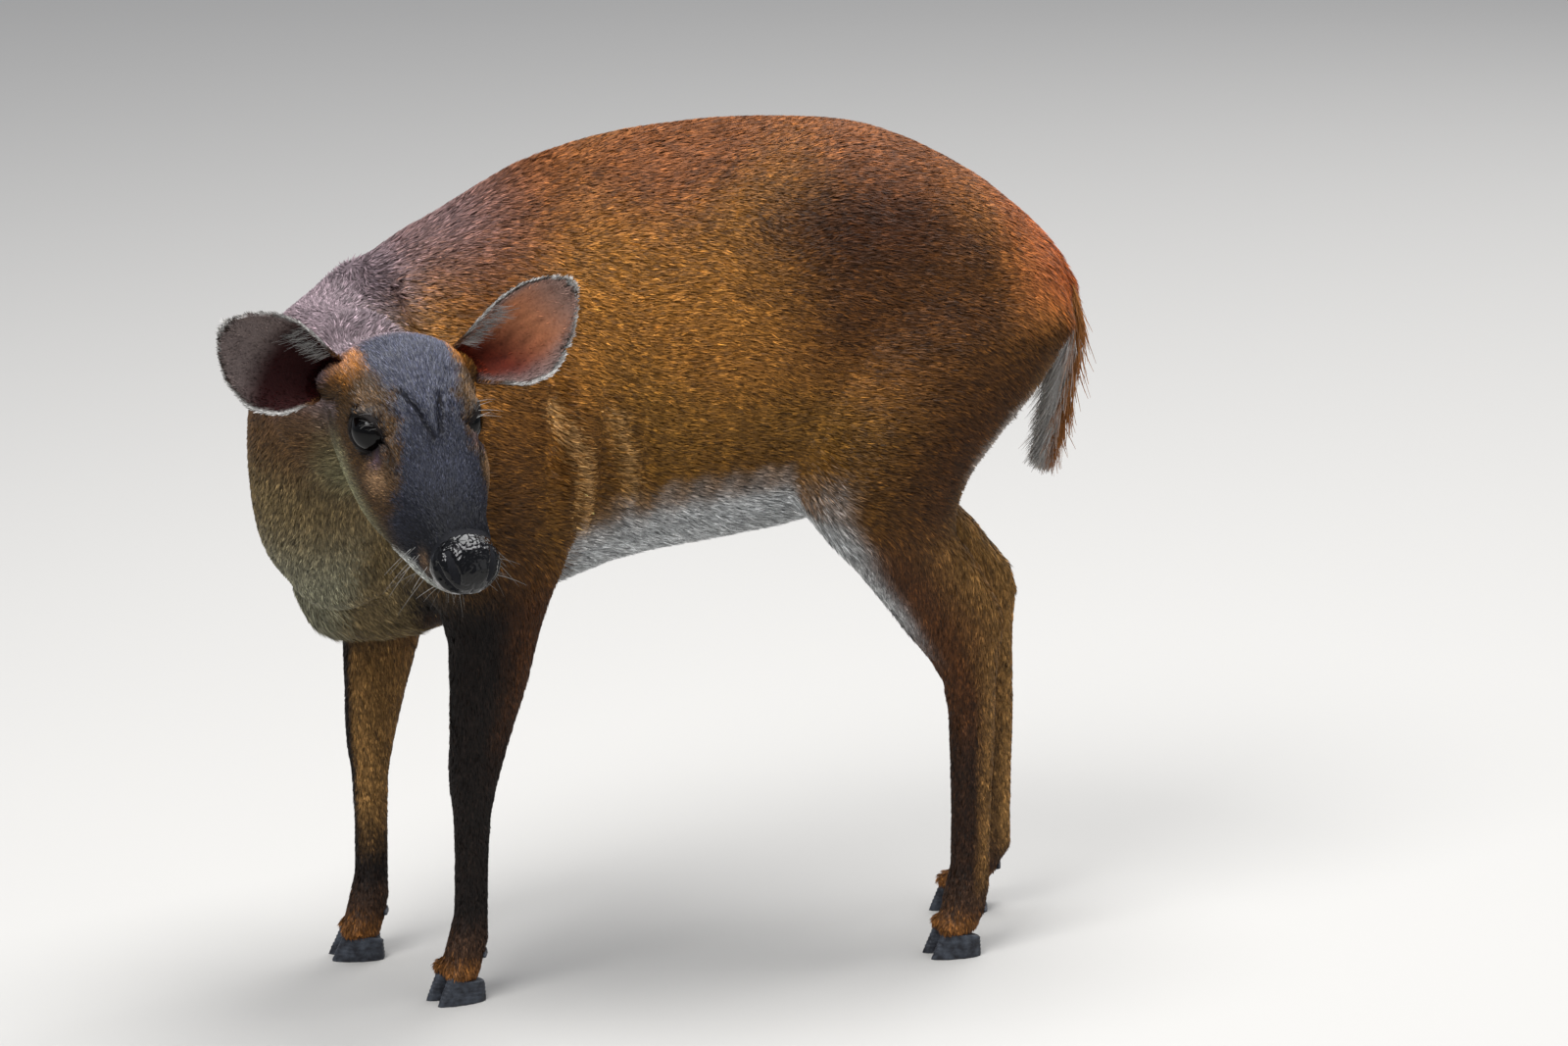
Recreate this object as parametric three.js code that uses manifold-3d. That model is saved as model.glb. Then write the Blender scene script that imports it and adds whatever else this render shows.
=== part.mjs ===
// A life-size female muntjac that stands on four hooves with its back arched and its head turned
// to its left. Millimetres, +Z up. The animal faces -X, its left side faces -Y, and it stands on Z = 0.

import * as THREE from "three";
import { mergeVertices } from "three/addons/utils/BufferGeometryUtils.js";
import Module from "manifold-3d";

const wasm = await Module();
wasm.setup();

// Driving sizes

const GAP = 0.3; // between two parts that touch
const HEIGHT = 528; // floor to the top of the arched back
const FAR = 900; // longer than anything that a cut has to cross
const EYE_RADIUS = 14;
const LID_THICKNESS = 1.5;
const EAR_LENGTH = 82;
const EAR_THICKNESS = 2;
const HOOF_HEIGHT = 19;

// Colours of the materials

const CHESTNUT = { color: 0x8a4a1e, roughness: 0.8, metalness: 0 };
const OLIVE = { color: 0x6d5c43, roughness: 0.85, metalness: 0 };
const DARK_LEG = { color: 0x3c281e, roughness: 0.85, metalness: 0 };
const MASK = { color: 0x37343c, roughness: 0.8, metalness: 0 };
const EAR_SKIN = { color: 0xa8745c, roughness: 0.7, metalness: 0 };
const WET_BLACK = { color: 0x0b0b10, roughness: 0.2, metalness: 0 };
const HORN = { color: 0x3a3840, roughness: 0.5, metalness: 0 };

// Curves and solids

// A value that runs smoothly, without overshoot, through [place, value] pairs in rising order of place.
function smooth(pairs) {
  const slopes = pairs.slice(1).map(([x, v], i) => (v - pairs[i][1]) / (x - pairs[i][0]));
  const tangents = pairs.map((_, i) => {
    const before = slopes[Math.max(i - 1, 0)];
    const after = slopes[Math.min(i, slopes.length - 1)];
    return before * after > 0 ? (2 * before * after) / (before + after) : 0;
  });
  return (x) => {
    if (x <= pairs[0][0]) return pairs[0][1];
    const last = pairs.length - 1;
    if (x >= pairs[last][0]) return pairs[last][1];
    const i = pairs.findIndex(([place]) => place > x) - 1;
    const span = pairs[i + 1][0] - pairs[i][0];
    const t = (x - pairs[i][0]) / span;
    const rise = pairs[i + 1][1] - pairs[i][1];
    const a = tangents[i] * span;
    const b = tangents[i + 1] * span;
    return pairs[i][1] + t * (a + t * (3 * rise - 2 * a - b + t * (a + b - 2 * rise)));
  };
}

// Evenly spaced values from first to last, both included.
function steps(first, last, count) {
  return Array.from({ length: count + 1 }, (_, i) => first + ((last - first) * i) / count);
}

// A superellipse in two half sizes each way, as [out, up] pairs. blunt 2 is an ellipse, more is squarer.
function oval({ out, up, down = up, blunt = 2, lean = 0 }, around) {
  return steps(0, 2 * Math.PI, around).slice(0, -1).map((angle) => {
    const c = Math.cos(angle);
    const s = Math.sin(angle);
    const x = Math.sign(c) * Math.abs(c) ** (2 / blunt);
    const y = Math.sign(s) * Math.abs(s) ** (2 / blunt);
    return [x * out * (1 + lean * y), y * (y > 0 ? up : down)];
  });
}

// A closed body from rings of equally many points, with a fan over each end.
function loft(rings) {
  const around = rings[0].length;
  const points = rings.flat();
  const ends = [rings[0], rings[rings.length - 1]].map((ring) =>
    ring.reduce((sum, p) => sum.add(p), new THREE.Vector3()).divideScalar(around),
  );
  const first = points.length;
  const index = [];
  rings.slice(1).forEach((_, r) => {
    for (let i = 0; i < around; i++) {
      const a = r * around + i;
      const b = r * around + ((i + 1) % around);
      index.push(a, b, a + around, b, b + around, a + around);
    }
  });
  for (let i = 0; i < around; i++) {
    const j = (i + 1) % around;
    const top = (rings.length - 1) * around;
    index.push(first, j, i, first + 1, top + i, top + j);
  }
  return solid(new THREE.BufferGeometry().setFromPoints([...points, ...ends]).setIndex(index));
}

// A closed geometry as a solid with its faces out.
function solid(geometry) {
  const bare = new THREE.BufferGeometry().setAttribute("position", geometry.getAttribute("position"));
  bare.setIndex(geometry.index);
  const merged = mergeVertices(bare, 1e-3);
  const triVerts = new Uint32Array(merged.index.array);
  const vertProperties = merged.attributes.position.array;
  const make = () => new wasm.Manifold(new wasm.Mesh({ numProp: 3, vertProperties, triVerts }));
  const made = make();
  if (made.volume() > 0) return made;
  for (let i = 0; i < triVerts.length; i += 3) triVerts.subarray(i, i + 2).reverse();
  return make();
}

// A three.js geometry, moved by a matrix, as a solid.
function placed(geometry, matrix) {
  return solid(geometry.applyMatrix4(matrix));
}

// The matrix that carries the X, Y and Z axes to these three, at a place.
function frameAt(place, x, y, z) {
  return new THREE.Matrix4().makeBasis(x, y, z).setPosition(place);
}

const v = (x, y, z) => new THREE.Vector3(x, y, z);
const join = (...solids) => solids.reduce((whole, s) => whole.add(s));

// The one closed surface that holds the most.
function largest(whole) {
  return whole.decompose().sort((a, b) => b.volume() - a.volume())[0];
}

// Everything beyond a plane through a place, on the side that the direction points to.
function beyond(place, direction) {
  const turn = new THREE.Quaternion().setFromUnitVectors(v(0, 0, 1), direction.clone().normalize());
  const move = new THREE.Matrix4().compose(place, turn, v(1, 1, 1));
  return placed(new THREE.BoxGeometry(FAR, FAR, FAR).translate(0, 0, FAR / 2), move);
}

// The part of a solid beyond a plane, and the rest, with the gap between them.
function halves(whole, place, direction) {
  const shift = direction.clone().normalize().multiplyScalar(GAP / 2);
  return [
    whole.intersect(beyond(place.clone().add(shift), direction)),
    whole.intersect(beyond(place.clone().sub(shift), direction.clone().negate())),
  ];
}

// Trunk: heights of back and belly, half the width and the sideways bend, each along the body

const back = smooth([
  [-277, 292], [-268, 345], [-256, 402], [-242, 440], [-221, 464], [-181, 484], [-120, 512],
  [-58, 525], [4, HEIGHT], [66, 525], [109, 512], [134, 499], [159, 483], [182, 462], [196, 444],
  [205, 424], [211, 402],
]);
const belly = smooth([
  [-277, 258], [-268, 234], [-250, 223], [-215, 219], [-180, 226], [-114, 246], [-73, 259],
  [-36, 265], [21, 273], [80, 290], [130, 318], [168, 350], [196, 380], [211, 395],
]);
const halfWidth = smooth([
  [-277, 12], [-268, 30], [-250, 48], [-220, 62], [-170, 72], [-100, 78], [-30, 83], [30, 83],
  [90, 78], [140, 70], [176, 57], [196, 40], [207, 24], [211, 8],
]);
const sideways = smooth([[-277, -8], [-200, -1], [-100, 2], [0, -3], [100, -14], [211, -24]]);
const bluntness = smooth([[-277, 2], [-200, 1.85], [-100, 2.05], [60, 2.25], [211, 2]]);
const WIDEST_LEVEL = 0.44; // of the depth, up from the belly

function trunk(margin = 0) {
  const places = [-277, -274, -268, -258, -246, ...steps(-230, 180, 17), 191, 200, 207, 211];
  return loft(
    places.map((x) => {
      const level = belly(x) + WIDEST_LEVEL * (back(x) - belly(x));
      const size = {
        out: halfWidth(x) + margin,
        up: back(x) - level + margin,
        down: level - belly(x) + margin,
        blunt: bluntness(x),
      };
      return oval(size, 28).map(([out, up]) => v(x, sideways(x) + out, level + up));
    }),
  );
}

// Neck: from inside the chest it bends round to the animal's left and up to the back of the head

const NECK = [
  { at: v(-190, -2, 362), inner: 62, outer: 60, up: 92, down: 96 },
  { at: v(-212, -6, 357), inner: 57, outer: 62, up: 103, down: 103 },
  { at: v(-236, -16, 354), inner: 52, outer: 62, up: 105, down: 104 },
  { at: v(-254, -33, 359), inner: 48, outer: 57, up: 96, down: 93 },
  { at: v(-263, -58, 374), inner: 45, outer: 51, up: 78, down: 75 },
  { at: v(-260, -86, 393), inner: 41, outer: 44, up: 59, down: 58 },
  { at: v(-250, -112, 416), inner: 36, outer: 36, up: 41, down: 46 },
];

function neck(margin = 0) {
  const path = new THREE.CatmullRomCurve3(NECK.map((s) => s.at));
  const size = (name) => smooth(NECK.map((s, i) => [i, s[name]]));
  const [inner, outer, up, down] = ["inner", "outer", "up", "down"].map(size);
  return loft(
    steps(0, NECK.length - 1, 14).map((i) => {
      const t = i / (NECK.length - 1);
      const ahead = path.getTangent(t);
      const side = v(0, 0, 1).cross(ahead).normalize();
      const above = ahead.clone().cross(side);
      const centre = path.getPoint(t);
      return oval({ out: 1, up: up(i) + margin, down: down(i) + margin, blunt: 2.1 }, 24).map(([o, u]) =>
        centre
          .clone()
          .addScaledVector(side, o * ((o > 0 ? inner : outer)(i) + margin))
          .addScaledVector(above, u),
      );
    }),
  );
}

// Head, in its own frame from midway between the eyes: X to the nose, Y to its left, Z to the crown

const HEAD_PLACE = v(-243, -180, 396);
const HEAD_AHEAD = v(0.053, -0.753, -0.656).normalize();
const HEAD_LEFT = v(0, 0, 1).cross(HEAD_AHEAD).normalize();
const HEAD_UP = HEAD_AHEAD.clone().cross(HEAD_LEFT);
const HEAD = frameAt(HEAD_PLACE, HEAD_AHEAD, HEAD_LEFT, HEAD_UP);
const inHead = (x, y, z) => v(x, y, z).applyMatrix4(HEAD);

// The lines that the head's surface runs through, each as [ahead, out, up]
const HEAD_LINES = {
  crown: [[-80, 0, -24], [-74, 0, -6], [-63, 0, 8], [-48, 0, 16], [-28, 0, 20.5], [0, 0, 20], [28, 0, 17],
    [56, 0, 14.5], [88, 0, 14], [102, 0, 11], [108, 0, 6], [111, 0, 0]],
  temple: [[-80, 9, -28], [-74, 18, -16], [-63, 27, -2], [-48, 31, 7], [-28, 31, 12], [0, 28, 12],
    [28, 22, 11], [56, 16, 9.5], [88, 14.5, 9], [102, 12.5, 7], [108, 8, 3], [111, 2, -1]],
  cheek: [[-80, 14, -38], [-74, 25, -34], [-63, 34, -27], [-48, 38, -21], [-28, 39.5, -17], [0, 38, -16],
    [28, 35.5, -15], [56, 26, -13], [72, 21, -10], [88, 19, -8], [102, 17, -4], [108, 11, -3], [111, 3, -3]],
  jaw: [[-80, 12, -48], [-74, 20, -55], [-63, 26, -58], [-48, 31, -57], [-28, 33.5, -54], [0, 34, -50],
    [28, 31.5, -46], [56, 24.5, -38], [88, 16, -26.5], [102, 10, -19], [108, 6, -12], [111, 2, -5]],
  throat: [[-80, 0, -52], [-74, 0, -62], [-63, 0, -68], [-48, 0, -68], [-28, 0, -65], [0, 0, -60],
    [28, 0, -53], [56, 0, -44], [88, 0, -30.5], [102, 0, -22], [108, 0, -14], [111, 0, -6]],
};
const HEAD_AROUND = 26;

// The closed outline of the head at one place, grown by a margin.
function headRing(x, margin) {
  const line = (name) => {
    const [out, up] = [1, 2].map((k) => smooth(HEAD_LINES[name].map((p) => [p[0], p[k]])));
    return v(x, out(x), up(x));
  };
  const [crown, temple, cheek, jaw, throat] = Object.keys(HEAD_LINES).map(line);
  const mirrored = (p) => v(p.x, -p.y, p.z);
  const lap = [crown, temple, cheek, jaw, throat, mirrored(jaw), mirrored(cheek), mirrored(temple)];
  const ring = new THREE.CatmullRomCurve3(lap, true).getPoints(HEAD_AROUND).slice(0, -1);
  const centre = crown.clone().lerp(throat, 0.5);
  return ring.map((p) => {
    const away = p.clone().sub(centre);
    return p.addScaledVector(away.normalize(), margin).applyMatrix4(HEAD);
  });
}

function skull(margin = 0) {
  const places = [-80, -77, -71, ...steps(-63, 90, 17), 97, 102, 106, 109, 111];
  return loft(places.map((x) => headRing(x, margin)));
}

// Eyes: balls that look out and a little ahead, under lids with an almond opening

const EYE_PLACE = v(-3, 25.5, -2);
const GAZE = v(0.55, 0.78, 0.28).normalize();
const OPENING = { half: 13, high: 10, lid: 1.4 };
const SIDES = { left: 1, right: -1 };

function ball(radius, place) {
  return placed(new THREE.IcosahedronGeometry(radius, 3), new THREE.Matrix4().setPosition(place));
}

// The frame of one eye: X along the lids towards the nose, Y up across them, Z out along the gaze.
function eyeFrame(side) {
  const out = v(GAZE.x, GAZE.y * side, GAZE.z);
  const along = v(1, 0, -0.28).addScaledVector(out, -v(1, 0, -0.28).dot(out)).normalize();
  const place = v(EYE_PLACE.x, EYE_PLACE.y * side, EYE_PLACE.z);
  return HEAD.clone().multiply(frameAt(place, along, out.clone().cross(along), out));
}

function eyeOpening(side) {
  const depth = EYE_RADIUS * 2;
  const shape = new THREE.Shape();
  shape.moveTo(-OPENING.half, OPENING.lid);
  shape.quadraticCurveTo(-OPENING.half * 0.5, OPENING.high * 1.75, OPENING.half * 0.45, OPENING.high * 0.72);
  shape.quadraticCurveTo(OPENING.half * 0.9, OPENING.high * 0.3, OPENING.half * 1.12, -OPENING.lid);
  shape.quadraticCurveTo(OPENING.half * 0.1, -OPENING.high * 1.7, -OPENING.half, OPENING.lid);
  const along = new THREE.ExtrudeGeometry(shape, { depth, bevelEnabled: false, curveSegments: 8 });
  return placed(along, eyeFrame(side));
}

const eyeCentre = (side) => v(0, 0, 0).applyMatrix4(eyeFrame(side));

// The head with lids round the eyes, hollowed to take the eyeballs.
function headWithLids() {
  return Object.values(SIDES).reduce((whole, side) => {
    const centre = eyeCentre(side);
    return whole
      .add(ball(EYE_RADIUS + GAP + LID_THICKNESS, centre))
      .subtract(ball(EYE_RADIUS + GAP, centre))
      .subtract(eyeOpening(side));
  }, join(skull(), nosePad()));
}

// Nose pad: a broad, blunt lump over the end of the muzzle, with a comma of a nostril on each side

const PAD = { place: v(95, 0, -1.5), long: 19, out: 20.5, up: 17 };
const PAD_EDGE = { place: v(91, 0, 0), ahead: v(0.93, 0, 0.37) };

function nosePad() {
  const round = new THREE.SphereGeometry(1, 18, 12).scale(PAD.long, PAD.out, PAD.up);
  return placed(round, HEAD.clone().multiply(new THREE.Matrix4().setPosition(PAD.place)));
}

function nostril(side) {
  const comma = new THREE.CatmullRomCurve3([
    v(113.5, 6.5 * side, -5), v(110.5, 10 * side, -5), v(106, 15.5 * side, -1), v(99, 19.5 * side, 4),
    v(93, 20.5 * side, 5),
  ]);
  const radius = smooth([[0, 2.2], [0.35, 4], [0.7, 2.8], [1, 1.2]]);
  return loft(
    steps(0, 1, 8).map((t) => {
      const ahead = comma.getTangent(t);
      const across = v(0, 0, 1).cross(ahead).normalize();
      const above = ahead.clone().cross(across);
      return oval({ out: radius(t), up: radius(t) }, 8).map(([o, u]) =>
        comma.getPoint(t).addScaledVector(across, o).addScaledVector(above, u).applyMatrix4(HEAD),
      );
    }),
  );
}

// Ears: thin leaves rolled into a tube at the root and open to the front

const EARS = {
  left: { root: v(-46, 39, -9), tip: v(-0.17, 0.72, 0.66), open: v(0.82, -0.12, 0.3) },
  right: { root: v(-46, -42, -9), tip: v(-0.18, -0.83, 0.5), open: v(0.86, -0.06, 0.38) },
};
const EAR_BASE = { long: 24, radius: 17, back: 13 }; // the furry root that the leaf grows from
const earArcAbove = smooth([[0, 17], [0.12, 19], [0.3, 23], [0.5, 25], [0.72, 22], [0.88, 14], [1, 3]]);
const earArcBelow = smooth([[0, 24], [0.12, 34], [0.3, 44], [0.5, 46], [0.72, 38], [0.88, 23], [1, 4]]);
const earCurl = smooth([[0, 13], [0.2, 19], [0.4, 30], [0.7, 52], [1, 80]]);
const EAR_SINK = 11; // how far the leaf's root lies behind its axis
const EAR_STEPS = 11;
const EAR_ACROSS = 8;

function earFrame(name) {
  const { root, tip, open } = EARS[name];
  const along = tip.clone().normalize();
  const front = open.clone().addScaledVector(along, -open.dot(along)).normalize();
  return HEAD.clone().multiply(frameAt(root, along, along.clone().cross(front).negate(), front));
}

function ear(name) {
  const frame = earFrame(name);
  const point = (t, across, depth) => {
    const below = across * SIDES[name] < 0;
    const arc = (below ? earArcBelow : earArcAbove)(t) * Math.sqrt(Math.min(1, (1.02 - t) * 12));
    const curl = earCurl(t);
    const angle = (across * arc) / curl;
    const inner = curl - depth;
    const height = curl - inner * Math.cos(angle) - EAR_SINK * (1 - t);
    return v(t * EAR_LENGTH, inner * Math.sin(angle), height).applyMatrix4(frame);
  };
  const rings = steps(0, 1, EAR_STEPS).map((t) => {
    const thick = EAR_THICKNESS * (1.1 - 0.4 * t);
    const outside = steps(-1, 1, EAR_ACROSS).map((s) => point(t, s, 0));
    const inside = steps(0.94, -0.94, EAR_ACROSS).map((s) => point(t, s, thick));
    return [...outside, ...inside];
  });
  const root = placed(
    new THREE.SphereGeometry(1, 14, 10).scale(EAR_BASE.long, EAR_BASE.radius, EAR_BASE.radius),
    frame.clone().multiply(new THREE.Matrix4().setPosition(-EAR_BASE.back, 0, 0)),
  );
  return join(loft(rings), root);
}

// Legs, as level slices: front and back of the leg, half its thickness and its distance from the midline

const SLICE_AROUND = 16;
const FORELEG = [
  // height, front, back, half thick, out
  [440, -200, -160, 8, 34],
  [415, -218, -138, 16, 41],
  [380, -234, -124, 25, 45],
  [335, -242, -117, 30, 48],
  [300, -236, -116, 31, 52],
  [272, -218, -122, 29, 56],
  [250, -203, -132, 25, 58.5],
  [228, -197, -140, 22, 59.5],
  [200, -195.5, -148, 18.5, 59],
  [172, -195, -157, 15.5, 57],
  [150, -195.5, -163, 15, 55.5],
  [136, -195, -166.5, 14, 54.5],
  [118, -192.5, -170, 11.5, 53.5],
  [90, -191.5, -171.5, 10, 52],
  [55, -192, -172, 10, 51],
  [38, -196, -172, 12, 50.5],
  [26, -199, -175, 12.5, 50],
  [15, -201, -178, 12.5, 50],
];
const HINDLEG = [
  [478, 95, 150, 12, 26],
  [440, 62, 188, 28, 38],
  [400, 40, 204, 36, 46],
  [362, 27, 177, 38, 50],
  [345, 24, 159, 37, 52],
  [315, 21, 132, 34, 54],
  [298, 22, 124, 30, 55],
  [278, 36, 122, 26, 54],
  [255, 57, 138, 21, 52.5],
  [225, 82, 154, 15.5, 50],
  [210, 94, 156, 14, 49],
  [195, 107, 153, 14, 48],
  [178, 118, 151, 13.5, 47],
  [158, 122, 151, 11.5, 46],
  [130, 123.5, 151, 10.5, 45],
  [90, 125, 149.5, 10, 44],
  [58, 125, 149, 10.5, 43.5],
  [42, 122, 149, 12.5, 43],
  [28, 119, 146, 12.5, 43],
  [16, 115, 141, 12.5, 43],
];

// Where each leg stands: which side of the midline, and how far its slices are moved along the body
const LEGS = {
  foreleg_left: { slices: FORELEG, side: -1, midline: -1, forward: smooth([[0, 0], [400, 0]]) },
  foreleg_right: {
    slices: FORELEG,
    side: 1,
    midline: -2,
    forward: smooth([[0, -36], [240, -36], [400, -4]]),
  },
  hindleg_left: { slices: HINDLEG, side: -1, midline: -18, forward: smooth([[0, 0], [400, 0]]) },
  hindleg_right: {
    slices: HINDLEG,
    side: 1,
    midline: -24,
    forward: smooth([[0, 28], [16, 31], [44, 43], [200, 42], [300, 21], [400, 0]]),
  },
};

function legSlice(leg, height, margin = 0) {
  const { slices, side, midline, forward } = LEGS[leg];
  const rising = [...slices].reverse();
  const [front, rear, thick, out] = [1, 2, 3, 4].map((k) =>
    smooth(rising.map((s) => [s[0], s[k]]))(height),
  );
  return {
    x: (front + rear) / 2 + forward(height),
    y: midline + side * out,
    long: (rear - front) / 2 + margin,
    thick: thick + margin,
  };
}

function leg(name, margin = 0) {
  return loft(
    LEGS[name].slices.map(([height]) => {
      const { x, y, long, thick } = legSlice(name, height, margin);
      return oval({ out: thick, up: long, blunt: 2.1, lean: -0.12 }, SLICE_AROUND).map(([o, u]) =>
        v(x + u, y + o, height),
      );
    }),
  );
}

// Hooves and dewclaws

const HOOF_LENGTH = 34;
const HOOF_HALF = 6.6;
const HOOF_SPREAD = 7.2; // centre line of each hoof from the middle of the foot
const TOES = { outer: 1, inner: -1 };
const FOOT_TURN = { foreleg_left: 0.25, foreleg_right: -0.12, hindleg_left: 0.05, hindleg_right: 0.1 };

// One hoof: a wedge, low and pointed at the toe, high and round at the heel.
function hoof(leg, toe) {
  const foot = legSlice(leg, HOOF_HEIGHT);
  const side = LEGS[leg].side;
  const turn = new THREE.Matrix4().makeRotationZ(FOOT_TURN[leg]);
  turn.setPosition(foot.x, foot.y, 0);
  const offset = HOOF_SPREAD * TOES[toe] * side;
  const length = smooth([[0, 1], [HOOF_HEIGHT, 0.72]]);
  return loft(
    steps(0, HOOF_HEIGHT, 4).map((height) => {
      const share = height / HOOF_HEIGHT;
      const front = -HOOF_LENGTH * 0.62 * length(height) + share * 3;
      const rear = HOOF_LENGTH * 0.38 - share * 1.5;
      const size = { out: HOOF_HALF * (1 - 0.12 * share), up: rear, down: -front, blunt: 2.3 };
      return oval(size, 12).map(([o, u]) =>
        v(u, offset + o * (u < 0 ? 1 - 0.35 * (u / front) ** 2 : 1), height).applyMatrix4(turn),
      );
    }),
  );
}

const DEWCLAW = { height: 29, length: 13, radius: 4.8, out: 6.5 };

function dewclaw(leg, toe) {
  const at = legSlice(leg, DEWCLAW.height);
  const place = v(at.x + at.long - 2, at.y + DEWCLAW.out * TOES[toe] * LEGS[leg].side, DEWCLAW.height);
  const down = new THREE.ConeGeometry(DEWCLAW.radius, DEWCLAW.length, 8).rotateX(Math.PI);
  return placed(down, new THREE.Matrix4().makeRotationY(-0.5).setPosition(place));
}

// Tail: hangs from the rump, flat and broad, thin at its tip and fringed with long hair

const TAIL = [
  { at: v(192, -21, 432), out: 14, thick: 13 },
  { at: v(209, -21, 414), out: 15, thick: 13 },
  { at: v(215.5, -22, 392), out: 16, thick: 10 },
  { at: v(211, -23, 363), out: 15, thick: 8 },
  { at: v(206, -24, 338), out: 12, thick: 6.5 },
  { at: v(201.5, -25, 318), out: 8, thick: 4.5 },
  { at: v(199, -25, 309), out: 3, thick: 2 },
];
const tailPath = new THREE.CatmullRomCurve3(TAIL.map((s) => s.at));
const [tailOut, tailThick] = ["out", "thick"].map((name) =>
  smooth(TAIL.map((s, i) => [i / (TAIL.length - 1), s[name]])),
);
const SIDEWAYS = v(0, 1, 0);

// The direction down the tail and the one out of its back, at a share of its length.
function tailDirections(t) {
  const ahead = tailPath.getTangent(t);
  return [ahead, ahead.clone().cross(SIDEWAYS).normalize()];
}

function tailCore() {
  return loft(
    steps(0, 1, 10).map((t) => {
      const outward = tailDirections(t)[1];
      return oval({ out: tailOut(t), up: tailThick(t) }, 12).map(([o, u]) =>
        tailPath.getPoint(t).addScaledVector(SIDEWAYS, o).addScaledVector(outward, u),
      );
    }),
  );
}

// Fringe: flat, tapered locks in staggered rows round the sides and the underside of the tail
const LOCK = { wide: 4.6, thick: 1, root: 0.55, spread: 0.5, hang: 0.5, ahead: 0.2, vary: 0.12 };
const LOCK_ROWS = steps(0.28, 0.9, 3);
const LOCK_TURNS = [-1.5, -0.85, -0.2, 0.45, 1.1]; // radians round the tail from its underside
const lockLength = smooth([[0.3, 32], [0.5, 40], [0.75, 32], [1, 17]]);
const lockTaper = smooth([[0, 0.75], [0.35, 1], [0.7, 0.65], [1, 0.08]]);

// A number from -1 to 1 that differs from one count to the next, the same on every run.
const vary = (count) => Math.sin(count * 12.9898 + Math.sin(count * 78.233) * 43.7);

function lock(t, turn, count) {
  const [ahead, outward] = tailDirections(t);
  const out = SIDEWAYS.clone().multiplyScalar(Math.sin(turn)).addScaledVector(outward, -Math.cos(turn));
  const root = tailPath
    .getPoint(t)
    .addScaledVector(SIDEWAYS, Math.sin(turn) * tailOut(t) * LOCK.root)
    .addScaledVector(outward, -Math.cos(turn) * tailThick(t) * LOCK.root);
  const long = lockLength(t) * (1 + LOCK.vary * vary(count));
  const start = ahead.clone().addScaledVector(out, LOCK.spread + LOCK.vary * vary(count + 0.5)).normalize();
  const middle = root.clone().addScaledVector(start, long * (1 - LOCK.hang));
  const down = v(-LOCK.ahead, LOCK.vary * vary(count + 0.3), -1).normalize();
  const tip = middle.clone().addScaledVector(down, long * LOCK.hang);
  const line = new THREE.QuadraticBezierCurve3(root, middle, tip);
  return loft(
    steps(0, 1, 4).map((share) => {
      const along = line.getTangent(share);
      const across = along.clone().cross(out).normalize();
      const flat = across.clone().cross(along);
      const size = { out: LOCK.wide * lockTaper(share), up: LOCK.thick * lockTaper(share) ** 0.5 };
      return oval(size, 4).map(([o, u]) =>
        line.getPoint(share).addScaledVector(across, o).addScaledVector(flat, u),
      );
    }),
  );
}

function tail() {
  const locks = LOCK_ROWS.flatMap((t, row) =>
    LOCK_TURNS.map((turn, i) => lock(t, turn + (row % 2) * 0.35, row * LOCK_TURNS.length + i + 1)),
  );
  return join(tailCore(), ...locks);
}

// Parting the flesh into named parts

const nodes = {};

// Where the top of a leg meets the trunk: an outline seen from the side, cut in from the side of the body
const REGIONS = {
  foreleg: [[-176, 446], [-222, 400], [-249, 345], [-247, 292], [-236, 262], [-236, 150], [-236, -30],
    [-140, -30], [-140, 150], [-128, 250], [-112, 290], [-112, 345], [-138, 405]],
  hindleg: [[122, 470], [70, 440], [34, 392], [14, 345], [10, 290], [40, 250], [90, 190], [90, 100],
    [90, -30], [230, -30], [230, 100], [222, 200], [200, 262], [196, 320], [214, 352], [222, 388],
    [190, 440]],
};
const INNER = { start: 30, level: 220, slope: 0.11 }; // a leg's region leans out as it rises
const REGION_DEPTH = 200;

function sideRegion(name, margin) {
  const { side, midline } = LEGS[name];
  const corners = REGIONS[name.split("_")[0]].map(([x, z]) => v(x, z, 0));
  const centre = corners.reduce((sum, p) => sum.add(p), v(0, 0, 0)).divideScalar(corners.length);
  const shift = LEGS[name].forward;
  const points = new THREE.CatmullRomCurve3(corners, true, "chordal").getPoints(40).slice(0, -1);
  const outline = points.map((p) => {
    const away = p.clone().sub(centre).normalize().multiplyScalar(margin);
    return new THREE.Vector2(p.x + away.x + shift(p.y), p.y + away.y);
  });
  const shape = new THREE.Shape(outline);
  const prism = new THREE.ExtrudeGeometry(shape, { depth: REGION_DEPTH, bevelEnabled: false });
  const inner = INNER.start - INNER.slope * INNER.level - margin;
  const slant = v(0, side * INNER.slope, 1);
  return placed(prism, frameAt(v(0, midline + side * inner, 0), v(1, 0, 0), slant, v(0, side, 0)));
}

// Levels where a leg is parted: a height, and how much the cut rises towards the rear
const JOINTS = {
  foreleg: [["forearm", 236, 0.25], ["cannon", 137, 0], ["pastern", 36, -0.2]],
  hindleg: [["shank", 285, -0.35], ["cannon", 176, 0.2], ["pastern", 38, -0.2]],
};
const CORONET = { height: 15.5, rise: -0.22 };

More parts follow.
